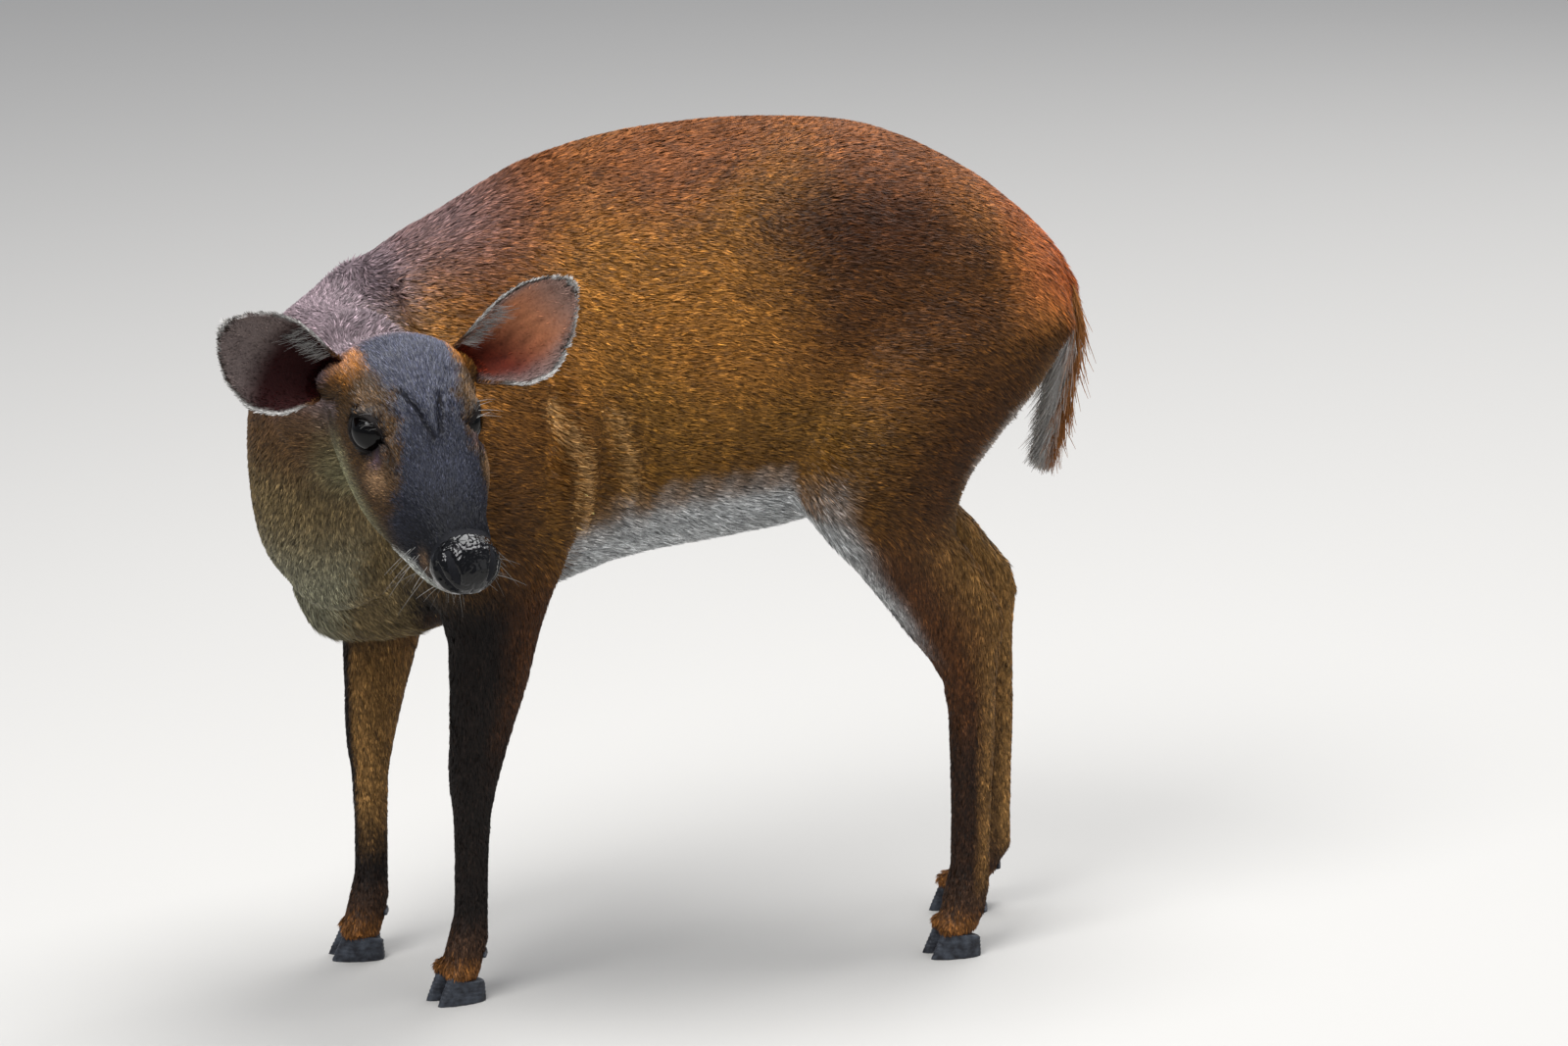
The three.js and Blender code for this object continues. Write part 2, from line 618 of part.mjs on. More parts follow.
function partLeg(name, whole) {
  const joints = JOINTS[name.split("_")[0]];
  let rest = whole;
  let upper = name.startsWith("fore") ? "shoulder" : "thigh";
  joints.forEach(([lower, height, rise]) => {
    const at = legSlice(name, height);
    const [above, below] = halves(rest, v(at.x, at.y, height), v(-rise, 0, 1));
    nodes[`${name}_${upper}`] = [largest(above), upper === "cannon" ? DARK_LEG : CHESTNUT];
    rest = largest(below);
    upper = lower;
  });
  const foot = legSlice(name, CORONET.height);
  const sole = halves(rest, v(foot.x, foot.y, CORONET.height), v(-CORONET.rise, 0, 1));
  nodes[`${name}_pastern`] = [largest(sole[0]), CHESTNUT];
  Object.keys(TOES).forEach((toe) => {
    const shell = halves(hoof(name, toe), v(foot.x, foot.y, CORONET.height), v(-CORONET.rise, 0, 1))[1];
    nodes[`${name}_hoof_${toe}`] = [largest(shell), HORN];
    nodes[`${name}_dewclaw_${toe}`] = [largest(dewclaw(name, toe).subtract(leg(name, GAP))), HORN];
  });
}

// Cuts across the body, from the head back to the rump
const NAPE = { at: inHead(-48, 0, -62), ahead: v(-0.05, -1, 0) };
const NECK_BASE = { at: v(-240, 0, 385), ahead: v(-0.86, -0.35, 0.36) };
const LAST_RIB = { at: v(-20, 0, 400), ahead: v(-1, 0, -0.12) };
const HIP = { at: v(96, 0, 420), ahead: v(-1, 0, 0.1) };

const flesh = join(trunk(), neck(), headWithLids(), ...Object.keys(LEGS).map((name) => leg(name)));
const [headPart, body] = halves(flesh, NAPE.at, NAPE.ahead);
const [neckPart, torso] = halves(body, NECK_BASE.at, NECK_BASE.ahead);
nodes.neck = [largest(neckPart), OLIVE];

let remains = largest(torso);
Object.keys(LEGS).forEach((name) => {
  partLeg(name, largest(remains.intersect(sideRegion(name, 0))));
  remains = largest(remains.subtract(sideRegion(name, GAP)));
});
const [chest, hindPart] = halves(remains, LAST_RIB.at, LAST_RIB.ahead);
const [loin, rump] = halves(hindPart, HIP.at, HIP.ahead);
nodes.chest = [largest(chest), CHESTNUT];
nodes.loin = [largest(loin), CHESTNUT];
nodes.rump = [largest(rump), CHESTNUT];

// Muzzle: the lower jaw below the line of the mouth, and the nose pad over the tip
const MOUTH = [
  [122, -17], [106, -17.5], [97, -20], [86, -24], [72, -28.5], [62, -32.5], [57, -38], [50, -70], [122, -70],
];

function jawRegion(margin) {
  const outline = new THREE.Shape(MOUTH.map(([x, z]) => new THREE.Vector2(x - margin, z + margin)));
  const depth = 100;
  const across = new THREE.ExtrudeGeometry(outline, { depth, bevelEnabled: false });
  const upright = frameAt(v(0, depth / 2, 0), v(1, 0, 0), v(0, 0, 1), v(0, -1, 0));
  return placed(across, HEAD.clone().multiply(upright));
}

// Creases: two on the forehead that run together towards the nose, and the slit of a gland before each eye
const CREASES = [
  { line: [[1, -8.7, 19.5], [9.4, -6.1, 19], [20, -3, 18]], half: 1.3, deep: 2 },
  { line: [[1, 6, 19.6], [9.4, 4.6, 19.1], [18, 3, 18.2]], half: 1.3, deep: 2 },
  { line: [[11, -29.4, 7.5], [20.5, -28, 6.6], [35, -26, 3.6]], half: 1.8, deep: 3 },
  { line: [[11, 29.4, 7.5], [20.5, 28, 6.6], [35, 26, 3.6]], half: 1.8, deep: 3 },
];
const creaseTaper = smooth([[0, 0.3], [0.4, 1], [1, 0.3]]);

function crease({ line, half, deep }) {
  const path = new THREE.CatmullRomCurve3(line.map((p) => v(...p)));
  return loft(
    steps(0, 1, 3).map((t) => {
      const place = path.getPoint(t);
      const ahead = path.getTangent(t);
      const out = v(0, place.y, place.z).normalize();
      const across = out.clone().cross(ahead).normalize();
      const taper = creaseTaper(t);
      return oval({ out: half * taper, up: deep * taper }, 4).map(([o, u]) =>
        place.clone().addScaledVector(across, o).addScaledVector(out, u).applyMatrix4(HEAD),
      );
    }),
  );
}

const face = largest(headPart.subtract(join(...CREASES.map(crease))));
const jaw = largest(face.intersect(jawRegion(0)));
const upperFace = largest(face.subtract(jawRegion(GAP)));
const nostrils = join(...Object.values(SIDES).map(nostril));
const [pad, head] = halves(
  upperFace,
  PAD_EDGE.place.clone().applyMatrix4(HEAD),
  PAD_EDGE.ahead.clone().transformDirection(HEAD),
);
nodes.head = [largest(head), MASK];
nodes.jaw = [jaw, OLIVE];
nodes.nose_pad = [largest(pad.subtract(nostrils)), WET_BLACK];
Object.entries(SIDES).forEach(([name, side]) => {
  nodes[`eye_${name}`] = [ball(EYE_RADIUS, eyeCentre(side)), WET_BLACK];
  nodes[`ear_${name}`] = [largest(ear(name).subtract(join(skull(GAP), neck(GAP)))), EAR_SKIN];
});
const besideTail = join(trunk(GAP), leg("hindleg_left", GAP), leg("hindleg_right", GAP));
nodes.tail = [largest(tail().subtract(besideTail)), CHESTNUT];

// The finished group, with the middle of its footprint at the origin

function meshOf(made) {
  const { vertProperties, triVerts } = made.getMesh();
  const geometry = new THREE.BufferGeometry();
  geometry.setAttribute("position", new THREE.BufferAttribute(vertProperties, 3));
  geometry.setIndex(new THREE.BufferAttribute(triVerts, 1));
  return mergeVertices(geometry, 1e-4);
}

const muntjac = new THREE.Group();
Object.entries(nodes).forEach(([name, [made, look]]) => {
  const mesh = new THREE.Mesh(meshOf(made), new THREE.MeshStandardMaterial(look));
  mesh.name = name;
  muntjac.add(mesh);
});
const box = new THREE.Box3().setFromObject(muntjac);
const middle = box.getCenter(new THREE.Vector3());
muntjac.children.forEach((mesh) => mesh.geometry.translate(-middle.x, -middle.y, -box.min.z));

export default muntjac;
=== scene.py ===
# A life-size muntjac: skin, coat, eyes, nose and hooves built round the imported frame.
# Points are in millimetres in the drawing frame of the part, and become metres in the row's frame at the end.

import math

import bpy
import numpy as np
from mathutils import Matrix, Vector


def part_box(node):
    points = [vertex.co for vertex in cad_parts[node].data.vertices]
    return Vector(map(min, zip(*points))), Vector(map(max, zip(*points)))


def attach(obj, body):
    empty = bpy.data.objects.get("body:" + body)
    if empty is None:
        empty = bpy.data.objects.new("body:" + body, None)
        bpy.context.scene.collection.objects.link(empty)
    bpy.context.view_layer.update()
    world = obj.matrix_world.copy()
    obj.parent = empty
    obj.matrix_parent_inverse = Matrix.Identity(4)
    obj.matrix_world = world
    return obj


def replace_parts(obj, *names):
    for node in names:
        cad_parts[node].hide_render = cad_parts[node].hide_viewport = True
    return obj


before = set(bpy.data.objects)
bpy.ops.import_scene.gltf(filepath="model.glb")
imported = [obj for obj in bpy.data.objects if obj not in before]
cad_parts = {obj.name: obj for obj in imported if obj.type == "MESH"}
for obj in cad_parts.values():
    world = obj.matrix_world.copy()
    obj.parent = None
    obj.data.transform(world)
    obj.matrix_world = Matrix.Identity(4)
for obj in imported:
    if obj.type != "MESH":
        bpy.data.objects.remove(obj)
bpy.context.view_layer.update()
rng = np.random.default_rng(20)

# Frames of the drawing, the head and the camera

MM = 0.001
EYE_PLACE = np.array([-3.0, 25.5, -2.0])
EYE_SLIDE = np.array([0.0, -2.4, 0.0])
EYE_RADIUS = 14.3


def unit(a):
    a = np.asarray(a, float)
    return a / np.maximum(np.linalg.norm(a, axis=-1, keepdims=True), 1e-9)


HEAD_PLACE = np.array([-243.0, -180.0, 396.0])
HEAD_AHEAD = unit([0.053, -0.753, -0.656])
HEAD_LEFT = unit(np.cross([0, 0, 1], HEAD_AHEAD))
HEAD_UP = np.cross(HEAD_AHEAD, HEAD_LEFT)
HEAD_AXES = np.array([HEAD_AHEAD, HEAD_LEFT, HEAD_UP])


def centre_of(node):
    low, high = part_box(node)
    return np.array((low + high) / 2) / MM


between_eyes = (centre_of("eye_left") + centre_of("eye_right")) / 2
SHIFT = between_eyes - (HEAD_PLACE + np.array([EYE_PLACE[0], 0, EYE_PLACE[2]]) @ HEAD_AXES)


def to_head(p):
    return (p - HEAD_PLACE) @ HEAD_AXES.T


def from_head(p):
    return HEAD_PLACE + np.asarray(p, float) @ HEAD_AXES


CAMERA_TURN = math.radians(18)
CAMERA_RISE = math.radians(15)
CAMERA_DISTANCE = 4300.0
CAMERA_TARGET = np.array([0.0, -109.0, 300.0])
CAMERA_LENS = 164.25


def smoothstep(low, high, x):
    t = np.clip((x - low) / (high - low), 0, 1)
    return t * t * (3 - 2 * t)


def bump(x, width):
    return np.exp(-((x / width) ** 2))


def bell(p, place, reach):
    """1 at the place, and falling off over the reach along each axis."""
    return np.exp(-(((p - place) / reach) ** 2).sum(1))


# Colours, as they are named and as linear light

def linear(code):
    s = np.array([int(code[i : i + 2], 16) / 255 for i in (0, 2, 4)])
    return np.where(s <= 0.04045, s / 12.92, ((s + 0.055) / 1.055) ** 2.4)


PAINT = {
    name: linear(code)
    for name, code in {
        "back": "784724", "chestnut": "946227", "ochre": "74501c", "dark": "3a1d08", "rust": "a5521c",
        "rump": "96542b", "olive": "68583a", "throat": "7b7862", "neck_grey": "74656a", "white": "d2d0cc",
        "belly": "b4b6b6", "leg_dark": "19120e", "leg_brown": "4a2b12", "leg_tan": "8f6a3a", "foot": "3e2a1c",
        "mask": "282a35", "crown": "3a3c4a", "muzzle": "101117", "cheek": "3d2a14", "cheek_bright": "8a6c4e",
        "orange": "9c6326", "lip": "c6c8c0", "jaw": "7d7a5c", "skin_dark": "0e0a0b", "lilac": "5d4a55",
        "ear_pink": "c47f58", "ear_red": "6c2817", "ear_grey": "857672", "ear_back": "3a2e28",
        # The ears' dark colour serves both the blots in the left ear and the painted shade inside the right
        # ear.
        # fold: a painted highlight on the ridges of the folds behind the shoulder.
        "tail": "96602f", "fold": "b58c58", "ear_blot_and_shade": "2b0707",
    }.items()
}


def mix(a, b, w):
    return a + (b - a) * np.asarray(w)[:, None]


def over(base, name, amount):
    """The named paint laid over the base by an amount for each point."""
    return mix(base, PAINT[name], amount)


def plain(name, count):
    return np.tile(PAINT[name], (count, 1))


# Smooth noise without a table: a sum of seeded waves

class Waves:
    def __init__(self, seed, length, count=24):
        draw = np.random.default_rng(seed)
        self.k = unit(draw.normal(size=(count, 3))) * (2 * math.pi / length)
        self.k = self.k * draw.uniform(0.6, 1.6, (count, 1))
        self.phase = draw.uniform(0, 2 * math.pi, count)

    def __call__(self, p):
        out = np.zeros(len(p))
        for k, phase in zip(self.k, self.phase):
            out += np.sin(p @ k + phase)
        return out / math.sqrt(len(self.phase) / 2)


# Meshes as arrays

def mesh_arrays(obj):
    mesh = obj.data
    mesh.calc_loop_triangles()
    v = np.empty(len(mesh.vertices) * 3, np.float32)
    mesh.vertices.foreach_get("co", v)
    t = np.empty(len(mesh.loop_triangles) * 3, np.int32)
    mesh.loop_triangles.foreach_get("vertices", t)
    return v.reshape(-1, 3).astype(float) / MM - SHIFT, t.reshape(-1, 3)


def normals_of(v, t):
    face = np.cross(v[t[:, 1]] - v[t[:, 0]], v[t[:, 2]] - v[t[:, 0]])
    out = np.zeros_like(v)
    for k in range(3):
        for axis in range(3):
            out[:, axis] += np.bincount(t[:, k], face[:, axis], len(v))
    return unit(out)


def merged(v, t):
    keys = np.round(v * 50).astype(np.int64)
    _, first, inverse = np.unique(keys, axis=0, return_index=True, return_inverse=True)
    t = inverse.reshape(-1)[t]
    keep = (t[:, 0] != t[:, 1]) & (t[:, 1] != t[:, 2]) & (t[:, 2] != t[:, 0])
    return v[first], t[keep]


def grown(v, t, margin):
    v, t = merged(v, t)
    return v + normals_of(v, t) * margin, t


def stacked(parts):
    count = np.cumsum([0] + [len(v) for v, _ in parts])
    return np.concatenate([v for v, _ in parts]), np.concatenate([t + n for (_, t), n in zip(parts, count)])


def mesh_from(name, v, faces):
    mesh = bpy.data.meshes.new(name)
    mesh.vertices.add(len(v))
    mesh.vertices.foreach_set("co", ((v + SHIFT) * MM).astype(np.float32).ravel())
    sides = faces.shape[1]
    mesh.loops.add(faces.size)
    mesh.loops.foreach_set("vertex_index", faces.astype(np.int32).ravel())
    mesh.polygons.add(len(faces))
    mesh.polygons.foreach_set("loop_start", np.arange(0, faces.size, sides, dtype=np.int32))
    mesh.polygons.foreach_set("use_smooth", np.ones(len(faces), bool))
    mesh.update(calc_edges=True)
    obj = bpy.data.objects.new(name, mesh)
    bpy.context.scene.collection.objects.link(obj)
    return obj


def modified(obj):
    """The object's mesh with its modifiers applied, as arrays; the object goes."""
    depsgraph = bpy.context.evaluated_depsgraph_get()
    whole = obj.evaluated_get(depsgraph)
    done = bpy.data.objects.new(obj.name, bpy.data.meshes.new_from_object(whole))
    arrays = mesh_arrays(done)
    bpy.data.objects.remove(done)
    bpy.data.objects.remove(obj)
    return arrays


def voxelised(v, t, size):
    obj = mesh_from("voxels", v, t)
    remesh = obj.modifiers.new("remesh", "REMESH")
    remesh.mode = "VOXEL"
    remesh.voxel_size = size * MM
    return largest(*modified(obj))


def largest(v, t):
    label = np.arange(len(v))
    while True:
        low = label[t].min(1)
        new = label.copy()
        np.minimum.at(new, t.ravel(), np.repeat(low, 3))
        new = new[new]
        new = new[new]
        if (new == label).all():
            break
        label = new
    best = np.bincount(label).argmax()
    keep = label == best
    index = np.cumsum(keep) - 1
    return v[keep], index[t[keep[t[:, 0]]]]


def links(t):
    e = np.concatenate([t[:, [0, 1]], t[:, [1, 2]], t[:, [2, 0]]])
    e = np.unique(np.sort(e, 1), axis=0)
    return np.concatenate([e[:, 0], e[:, 1]]), np.concatenate([e[:, 1], e[:, 0]])


def smoothed(v, t, rounds, amount=0.5, back=0.0):
    """Each point moves towards the mean of its neighbours by its own amount, and then back out a little."""
    a, b = links(t)
    degree = np.maximum(np.bincount(a, minlength=len(v)), 1)[:, None]
    amount = np.broadcast_to(np.asarray(amount, float), len(v))[:, None]
    for _ in range(rounds):
        for step in (amount, -back * amount) if back else (amount,):
            mean = np.stack([np.bincount(a, v[b, k], len(v)) for k in range(3)], 1) / degree
            v = v + step * (mean - v)
    return v


def refined(v, t, chosen):
    """Splits the chosen triangles in four and their neighbours to match."""
    e = np.sort(np.stack([t[:, [0, 1]], t[:, [1, 2]], t[:, [2, 0]]], 1), axis=2)
    key = e[..., 0].astype(np.int64) * len(v) + e[..., 1]
    unique, inverse = np.unique(key.ravel(), return_inverse=True)
    inverse = inverse.reshape(-1, 3)
    split = np.zeros(len(unique), bool)
    split[inverse[chosen].ravel()] = True
    middle = np.where(split, np.cumsum(split) - 1 + len(v), -1)
    ends = unique[split]
    v = np.concatenate([v, (v[ends // len(v)] + v[ends % len(v)]) / 2])
    mid = middle[inverse]
    cuts = (mid >= 0).sum(1)
    out = [t[cuts == 0]]
    q, m = t[cuts == 3], mid[cuts == 3]
    for corner in ((q[:, 0], m[:, 0], m[:, 2]), (m[:, 0], q[:, 1], m[:, 1]), (m[:, 2], m[:, 1], q[:, 2]),
                   (m[:, 0], m[:, 1], m[:, 2])):
        out.append(np.stack(corner, 1))
    for turn in range(3):
        order = [turn, (turn + 1) % 3, (turn + 2) % 3]
        tt, mm = t[:, order], mid[:, order]
        one = (cuts == 1) & (mm[:, 0] >= 0)
        out.append(np.stack([tt[one, 0], mm[one, 0], tt[one, 2]], 1))
        out.append(np.stack([mm[one, 0], tt[one, 1], tt[one, 2]], 1))
        two = (cuts == 2) & (mm[:, 2] < 0)
        out.append(np.stack([mm[two, 0], tt[two, 1], mm[two, 1]], 1))
        out.append(np.stack([tt[two, 0], mm[two, 0], mm[two, 1]], 1))
        out.append(np.stack([tt[two, 0], mm[two, 1], tt[two, 2]], 1))
    return v, np.concatenate(out)


def cells(a, b, c, d):
    """Two triangles for each cell of a grid, from its corners in order."""
    return np.concatenate([np.stack(corners, -1).reshape(-1, 3) for corners in ((a, b, c), (a, c, d))])


def tube(points, radii, sides):
    """A closed body round a line of points, for numbers or pairs of half sizes."""
    points = np.asarray(points, float)
    ahead = unit(np.gradient(points, axis=0))
    across = unit(np.cross(ahead, [0.03, 0.99, 0.1]))
    above = np.cross(ahead, across)
    radii = np.asarray(radii, float).reshape(len(points), -1)
    turn = np.linspace(0, 2 * math.pi, sides, endpoint=False)
    ring = (across[:, None] * np.cos(turn)[None, :, None] * radii[:, None, :1]
            + above[:, None] * np.sin(turn)[None, :, None] * radii[:, None, -1:])
    v = np.concatenate([(points[:, None] + ring).reshape(-1, 3), points[:1], points[-1:]])
    i = np.arange(len(points) - 1)[:, None] * sides
    j = np.arange(sides)[None]
    k = (j + 1) % sides
    walls = cells(i + j, i + k, i + k + sides, i + j + sides)
    first, last = len(v) - 2, len(v) - 1
    top = (len(points) - 1) * sides
    ends = [[first, (n + 1) % sides, n] for n in range(sides)]
    ends += [[last, top + n, top + (n + 1) % sides] for n in range(sides)]
    return v, np.concatenate([walls, np.array(ends)])


def blob(centre, reach, rings=20, around=32):
    """A closed ellipsoid."""
    polar = np.linspace(0.02, math.pi - 0.02, rings)
    line = np.array(centre) + np.outer(np.cos(polar), [0, 0, reach[2]])
    v, t = tube(line, np.sin(polar), around)
    return (v - centre) * [reach[0], reach[1], 1] + centre, t


def distance_to_line(p, line):
    """Distance to a run of straight pieces, and the share of the run where the nearest place is."""
    line = np.asarray(line, float)
    best = np.full(len(p), 1e9)
    share = np.zeros(len(p))
    for i, (a, b) in enumerate(zip(line[:-1], line[1:])):
        ab = b - a
        s = np.clip((p - a) @ ab / (ab @ ab), 0, 1)
        d = np.linalg.norm(p - a - s[:, None] * ab, axis=1)
        near = d < best
        best[near] = d[near]
        share[near] = (i + s[near]) / (len(line) - 1)
    return best, share


def read_line(values, at):
    """Rows between a line's own rows, read at steps along it."""
    values = np.asarray(values, float)
    rows = np.arange(len(values))
    return np.stack([np.interp(at, rows, column) for column in values.T], 1)


def way_along(line, share):
    """The direction of a line of places, at shares of its length."""
    ahead = unit(np.gradient(np.array(line, float), axis=0))
    return read_line(ahead, share * (len(line) - 1))


def along_skin(d, n):
    return unit(d - n * (d * n).sum(1)[:, None])


# Places on the animal that the skin, the colours and the lie of the coat all read

SIDE = {"left": 1.0, "right": -1.0}
GAZE = unit([0.55, 0.78, 0.28])
LEG_LINES = {
    "foreleg_left": [[-170, -60, 300], [-168, -61, 220], [-181, -57, 145], [-182, -52, 60], [-188, -51, 10]],
    "foreleg_right": [[-190, 55, 300], [-204, 57, 220], [-217, 53, 145], [-218, 49, 60], [-224, 49, 10]],
    "hindleg_left": [[95, -75, 320], [105, -71, 250], [135, -66, 185], [137, -62, 60], [130, -61, 10]],
    "hindleg_right": [[118, 32, 320], [135, 28, 250], [176, 24, 185], [178, 20, 60], [163, 19, 10]],
}
NECK_LINE = [[-190, -2, 362], [-236, -16, 354], [-263, -58, 374], [-260, -86, 393], [-250, -112, 416],
             [-246, -140, 420]]
TAIL_LINE = [[192, -21, 432], [209, -21, 414], [215.5, -22, 392], [211, -23, 363], [206, -24, 338],
             [201.5, -25, 318], [199, -25, 309]]
TAIL_HALF = [[14, 13], [15, 12], [15, 8], [13, 6], [10, 5], [6, 3.5], [2.5, 1.6]]
CREASES = [[[-9, -13, 19.5], [1, -8.7, 19.5], [9.4, -6.1, 19], [22, -2.6, 17.8]],
           [[-5, 7.5, 19.6], [3, 6, 19.6], [9.4, 4.6, 19.1], [19, 3, 18.2]]]
GLAND = [[11, 29.4, 7.5], [20.5, 28, 6.6], [35, 26, 3.6]]
MOUTH = [[107, 8, -17.5], [97, 13, -20], [86, 16, -24], [72, 20, -28.5], [61, 23, -33]]
EARS = {
    "left": ([-46, 39, -9], [-0.17, 0.72, 0.66], [0.82, -0.12, 0.3]),
    "right": ([-46, -42, -9], [-0.18, -0.83, 0.5], [0.86, -0.06, 0.38]),
}
EAR_LENGTH = 82.0
EAR_THICKNESS = 2.0
EAR_SINK = 11.0


def eye_place(side):
    """The photo shows both eyes a little to the head's right of the frame's."""
    return EYE_PLACE * [1, side, 1] + EYE_SLIDE


def eye_axes(side):
    """Rows: along the lids to the nose, up across them, out along the gaze; in the head's frame."""
    out = GAZE * [1, side, 1]
    slope = np.array([1, -0.35 * side, 0.1])
    along = unit(slope - out * (slope @ out))
    return np.array([along, np.cross(out, along), out])


def in_eye(h, side):
    return (h - eye_place(side)) @ eye_axes(side).T


def near_eye(e, reach):
    """Points in front of the eye's centre and within reach of it, for points in the eye's own frame."""
    return (e[:, 2] > 0) & (np.linalg.norm(e, axis=1) < reach)


LID_BACK = [-13.2, 1.2]
LID_FRONT = [14.8, -2.2]
UPPER_LID = [LID_BACK, [-9, 6.6], [-3, 9.4], [3, 9.2], [9, 5.6], LID_FRONT]
LOWER_LID = [LID_BACK, [-8, -4.6], [-1, -7.6], [6, -7.2], [11, -5], LID_FRONT]


def lid_distance(x, y):
    """Distance outside the almond of the open lids, less than nothing inside it."""
    upper = np.interp(x, *np.array(UPPER_LID).T)
    lower = np.interp(x, *np.array(LOWER_LID).T)
    beyond = np.maximum(x - LID_FRONT[0], LID_BACK[0] - x)
    inside = np.maximum(np.maximum(y - upper, lower - y) * 0.8, beyond)
    corner = np.minimum(*[np.hypot(x - a, y - b) for a, b in (LID_BACK, LID_FRONT)])
    return np.where(beyond > 0, corner, inside)


def folded(h):
    """Points of the head with both of its sides laid on the left one."""
    return np.stack([h[:, 0], np.abs(h[:, 1]), h[:, 2]], 1)


def crease_distance(h):
    return np.minimum(*[distance_to_line(h, line)[0] for line in CREASES])


# Skin: the frame's own flesh, joined, smoothed, drawn in by the depth of the coat and then modelled

BODY_VOXEL = 2.2
SKIN_GROWTH = 0.4
EYE_GROWTH = 0.9
EYELID_PROUD = 1.1
CHEST = ([-255, -40, 286], [33, 34, 34])
EAR_STEM_RADII = [9, 12, 14, 15, 15, 13.5, 11.5, 9, 6]
STALK_AHEAD = np.array([-13.0, 0.0, 5.0])
STALK_RADII = [4.2, 5.2, 6, 6.6, 6.6, 5]
FLESH = [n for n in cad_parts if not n.startswith(("eye", "ear", "tail")) and "hoof" not in n
         and "dewclaw" not in n]


def coat_depth(p):
    h = to_head(p)
    on_head = smoothstep(-75, -40, h[:, 0]) * (np.abs(h[:, 1]) < 60) * (h[:, 2] > -75)
    low_leg = smoothstep(240, 170, p[:, 2])
    return 1.9 * (1 - on_head) * (1 - 0.7 * low_leg) + 0.35


def node_arrays(node):
    return mesh_arrays(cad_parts[node])


def ear_stem(name):
    """A stem from inside the skull to the ear's own root."""
    root, tip, _ = (np.array(a, float) for a in EARS[name])
    line = from_head(root + unit(tip) * np.linspace(-18, 6, 9)[:, None])
    return tube(line, EAR_STEM_RADII, 20)


def coronet(node):
    """The flesh that a hoof grows from."""
    hoof = node_arrays(node)[0]
    top = hoof[:, 2].max()
    upper = hoof[hoof[:, 2] > top - 4]
    place = (upper.min(0) + upper.max(0)) / 2
    reach = (upper.max(0) - upper.min(0)) / 2 * 0.9 + 1.6
    return blob([place[0], place[1], top + 1.5], [reach[0], reach[1], 6.5])


def dewclaw_stalk(node):
    """The flesh between a dewclaw and its leg."""
    line = node_arrays(node)[0].mean(0) + np.linspace(0.02, 1, 6)[:, None] * STALK_AHEAD + [0, 0, 1]
    return tube(line, STALK_RADII, 16)


def tail_core():
    at = np.linspace(0, len(TAIL_LINE) - 1, 25)
    return tube(read_line(TAIL_LINE, at), read_line(TAIL_HALF, at)[:, ::-1] * 0.86, 16)


def build_body():
    parts = [grown(*node_arrays(n), SKIN_GROWTH) for n in FLESH]
    for name in SIDE:
        parts.append(grown(*node_arrays("eye_" + name), EYE_GROWTH))
        parts.append(ear_stem(name))
    parts.append(blob(*CHEST))
    parts += [coronet(n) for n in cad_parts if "hoof" in n]
    parts += [dewclaw_stalk(n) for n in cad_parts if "dewclaw" in n]
    parts.append(tail_core())
    v, t = voxelised(*stacked(parts), BODY_VOXEL)
    h = to_head(v)
    face = smoothstep(-60, -30, h[:, 0]) * smoothstep(-90, -62, h[:, 2]) * (np.abs(h[:, 1]) < 60)
    firm = np.maximum(face, smoothstep(290, 205, v[:, 2]))[:, None]
    v = smoothed(v, t, 30, 0.55) * (1 - firm) + smoothed(v, t, 8, 0.5, 0.9) * firm
    v = smoothed(v, t, 6, 0.5, 0.9)
    return v - normals_of(v, t) * coat_depth(v)[:, None], t


def sculpt_body(v, n):
    """Muscle and bone that show through the coat."""
    forms = [
        # place, reach along X, Y and Z, height
        ([-176, -72, 385], [26, 30, 62], 2.4), ([-205, -60, 300], [24, 30, 34], 3.0),
        ([-146, -70, 330], [12, 30, 70], -2.6), ([-118, -78, 350], [12, 30, 80], 2.4),
        ([-96, -80, 335], [9, 30, 75], -2.0), ([128, -62, 440], [22, 26, 16], 3.2),
        ([150, -60, 415], [14, 26, 22], -1.6), ([60, -80, 350], [18, 26, 60], -2.4),
        ([110, -80, 350], [30, 26, 60], 2.2), ([-226, -30, 452], [22, 30, 14], 2.0),
    ]
    out = np.zeros(len(v))
    for place, reach, height in forms:
        for mirror in (1, -1):
            at = np.array(place) * [1, mirror, 1]
            out += height * bell(v, at, reach)
    for place, reach, height in (
        ([-286, -48, 290], [34, 44, 40], 6.0), ([-276, -20, 250], [26, 34, 26], 3.0),
        ([206, -22, 444], [18, 22, 20], 3.5), ([-127, -75, 362], [5, 22, 42], 3.2),
        ([-117, -70, 305], [5, 26, 40], 3.2), ([-138, -75, 345], [5, 24, 55], -2.4),
        ([-106, -75, 335], [5, 24, 60], -2.6), ([-95, -75, 352], [4.5, 22, 30], 2.4),
        ([-87, -70, 318], [4.5, 22, 24], 2.0), ([-79, -75, 335], [5, 22, 45], -1.8),
    ):
        out += height * bell(v, place, reach)
    for x, amount in ((-58, 1.0), (-40, 0.9), (-22, 0.8), (-4, 0.7), (14, 0.5)):
        rib = (v[:, 0] - x - 0.28 * (v[:, 2] - 350)) / 5.5
        out += 0.8 * amount * bump(rib, 1) * bump(v[:, 2] - 345, 55) * (np.abs(v[:, 1]) > 45)
    return v + n * out[:, None]


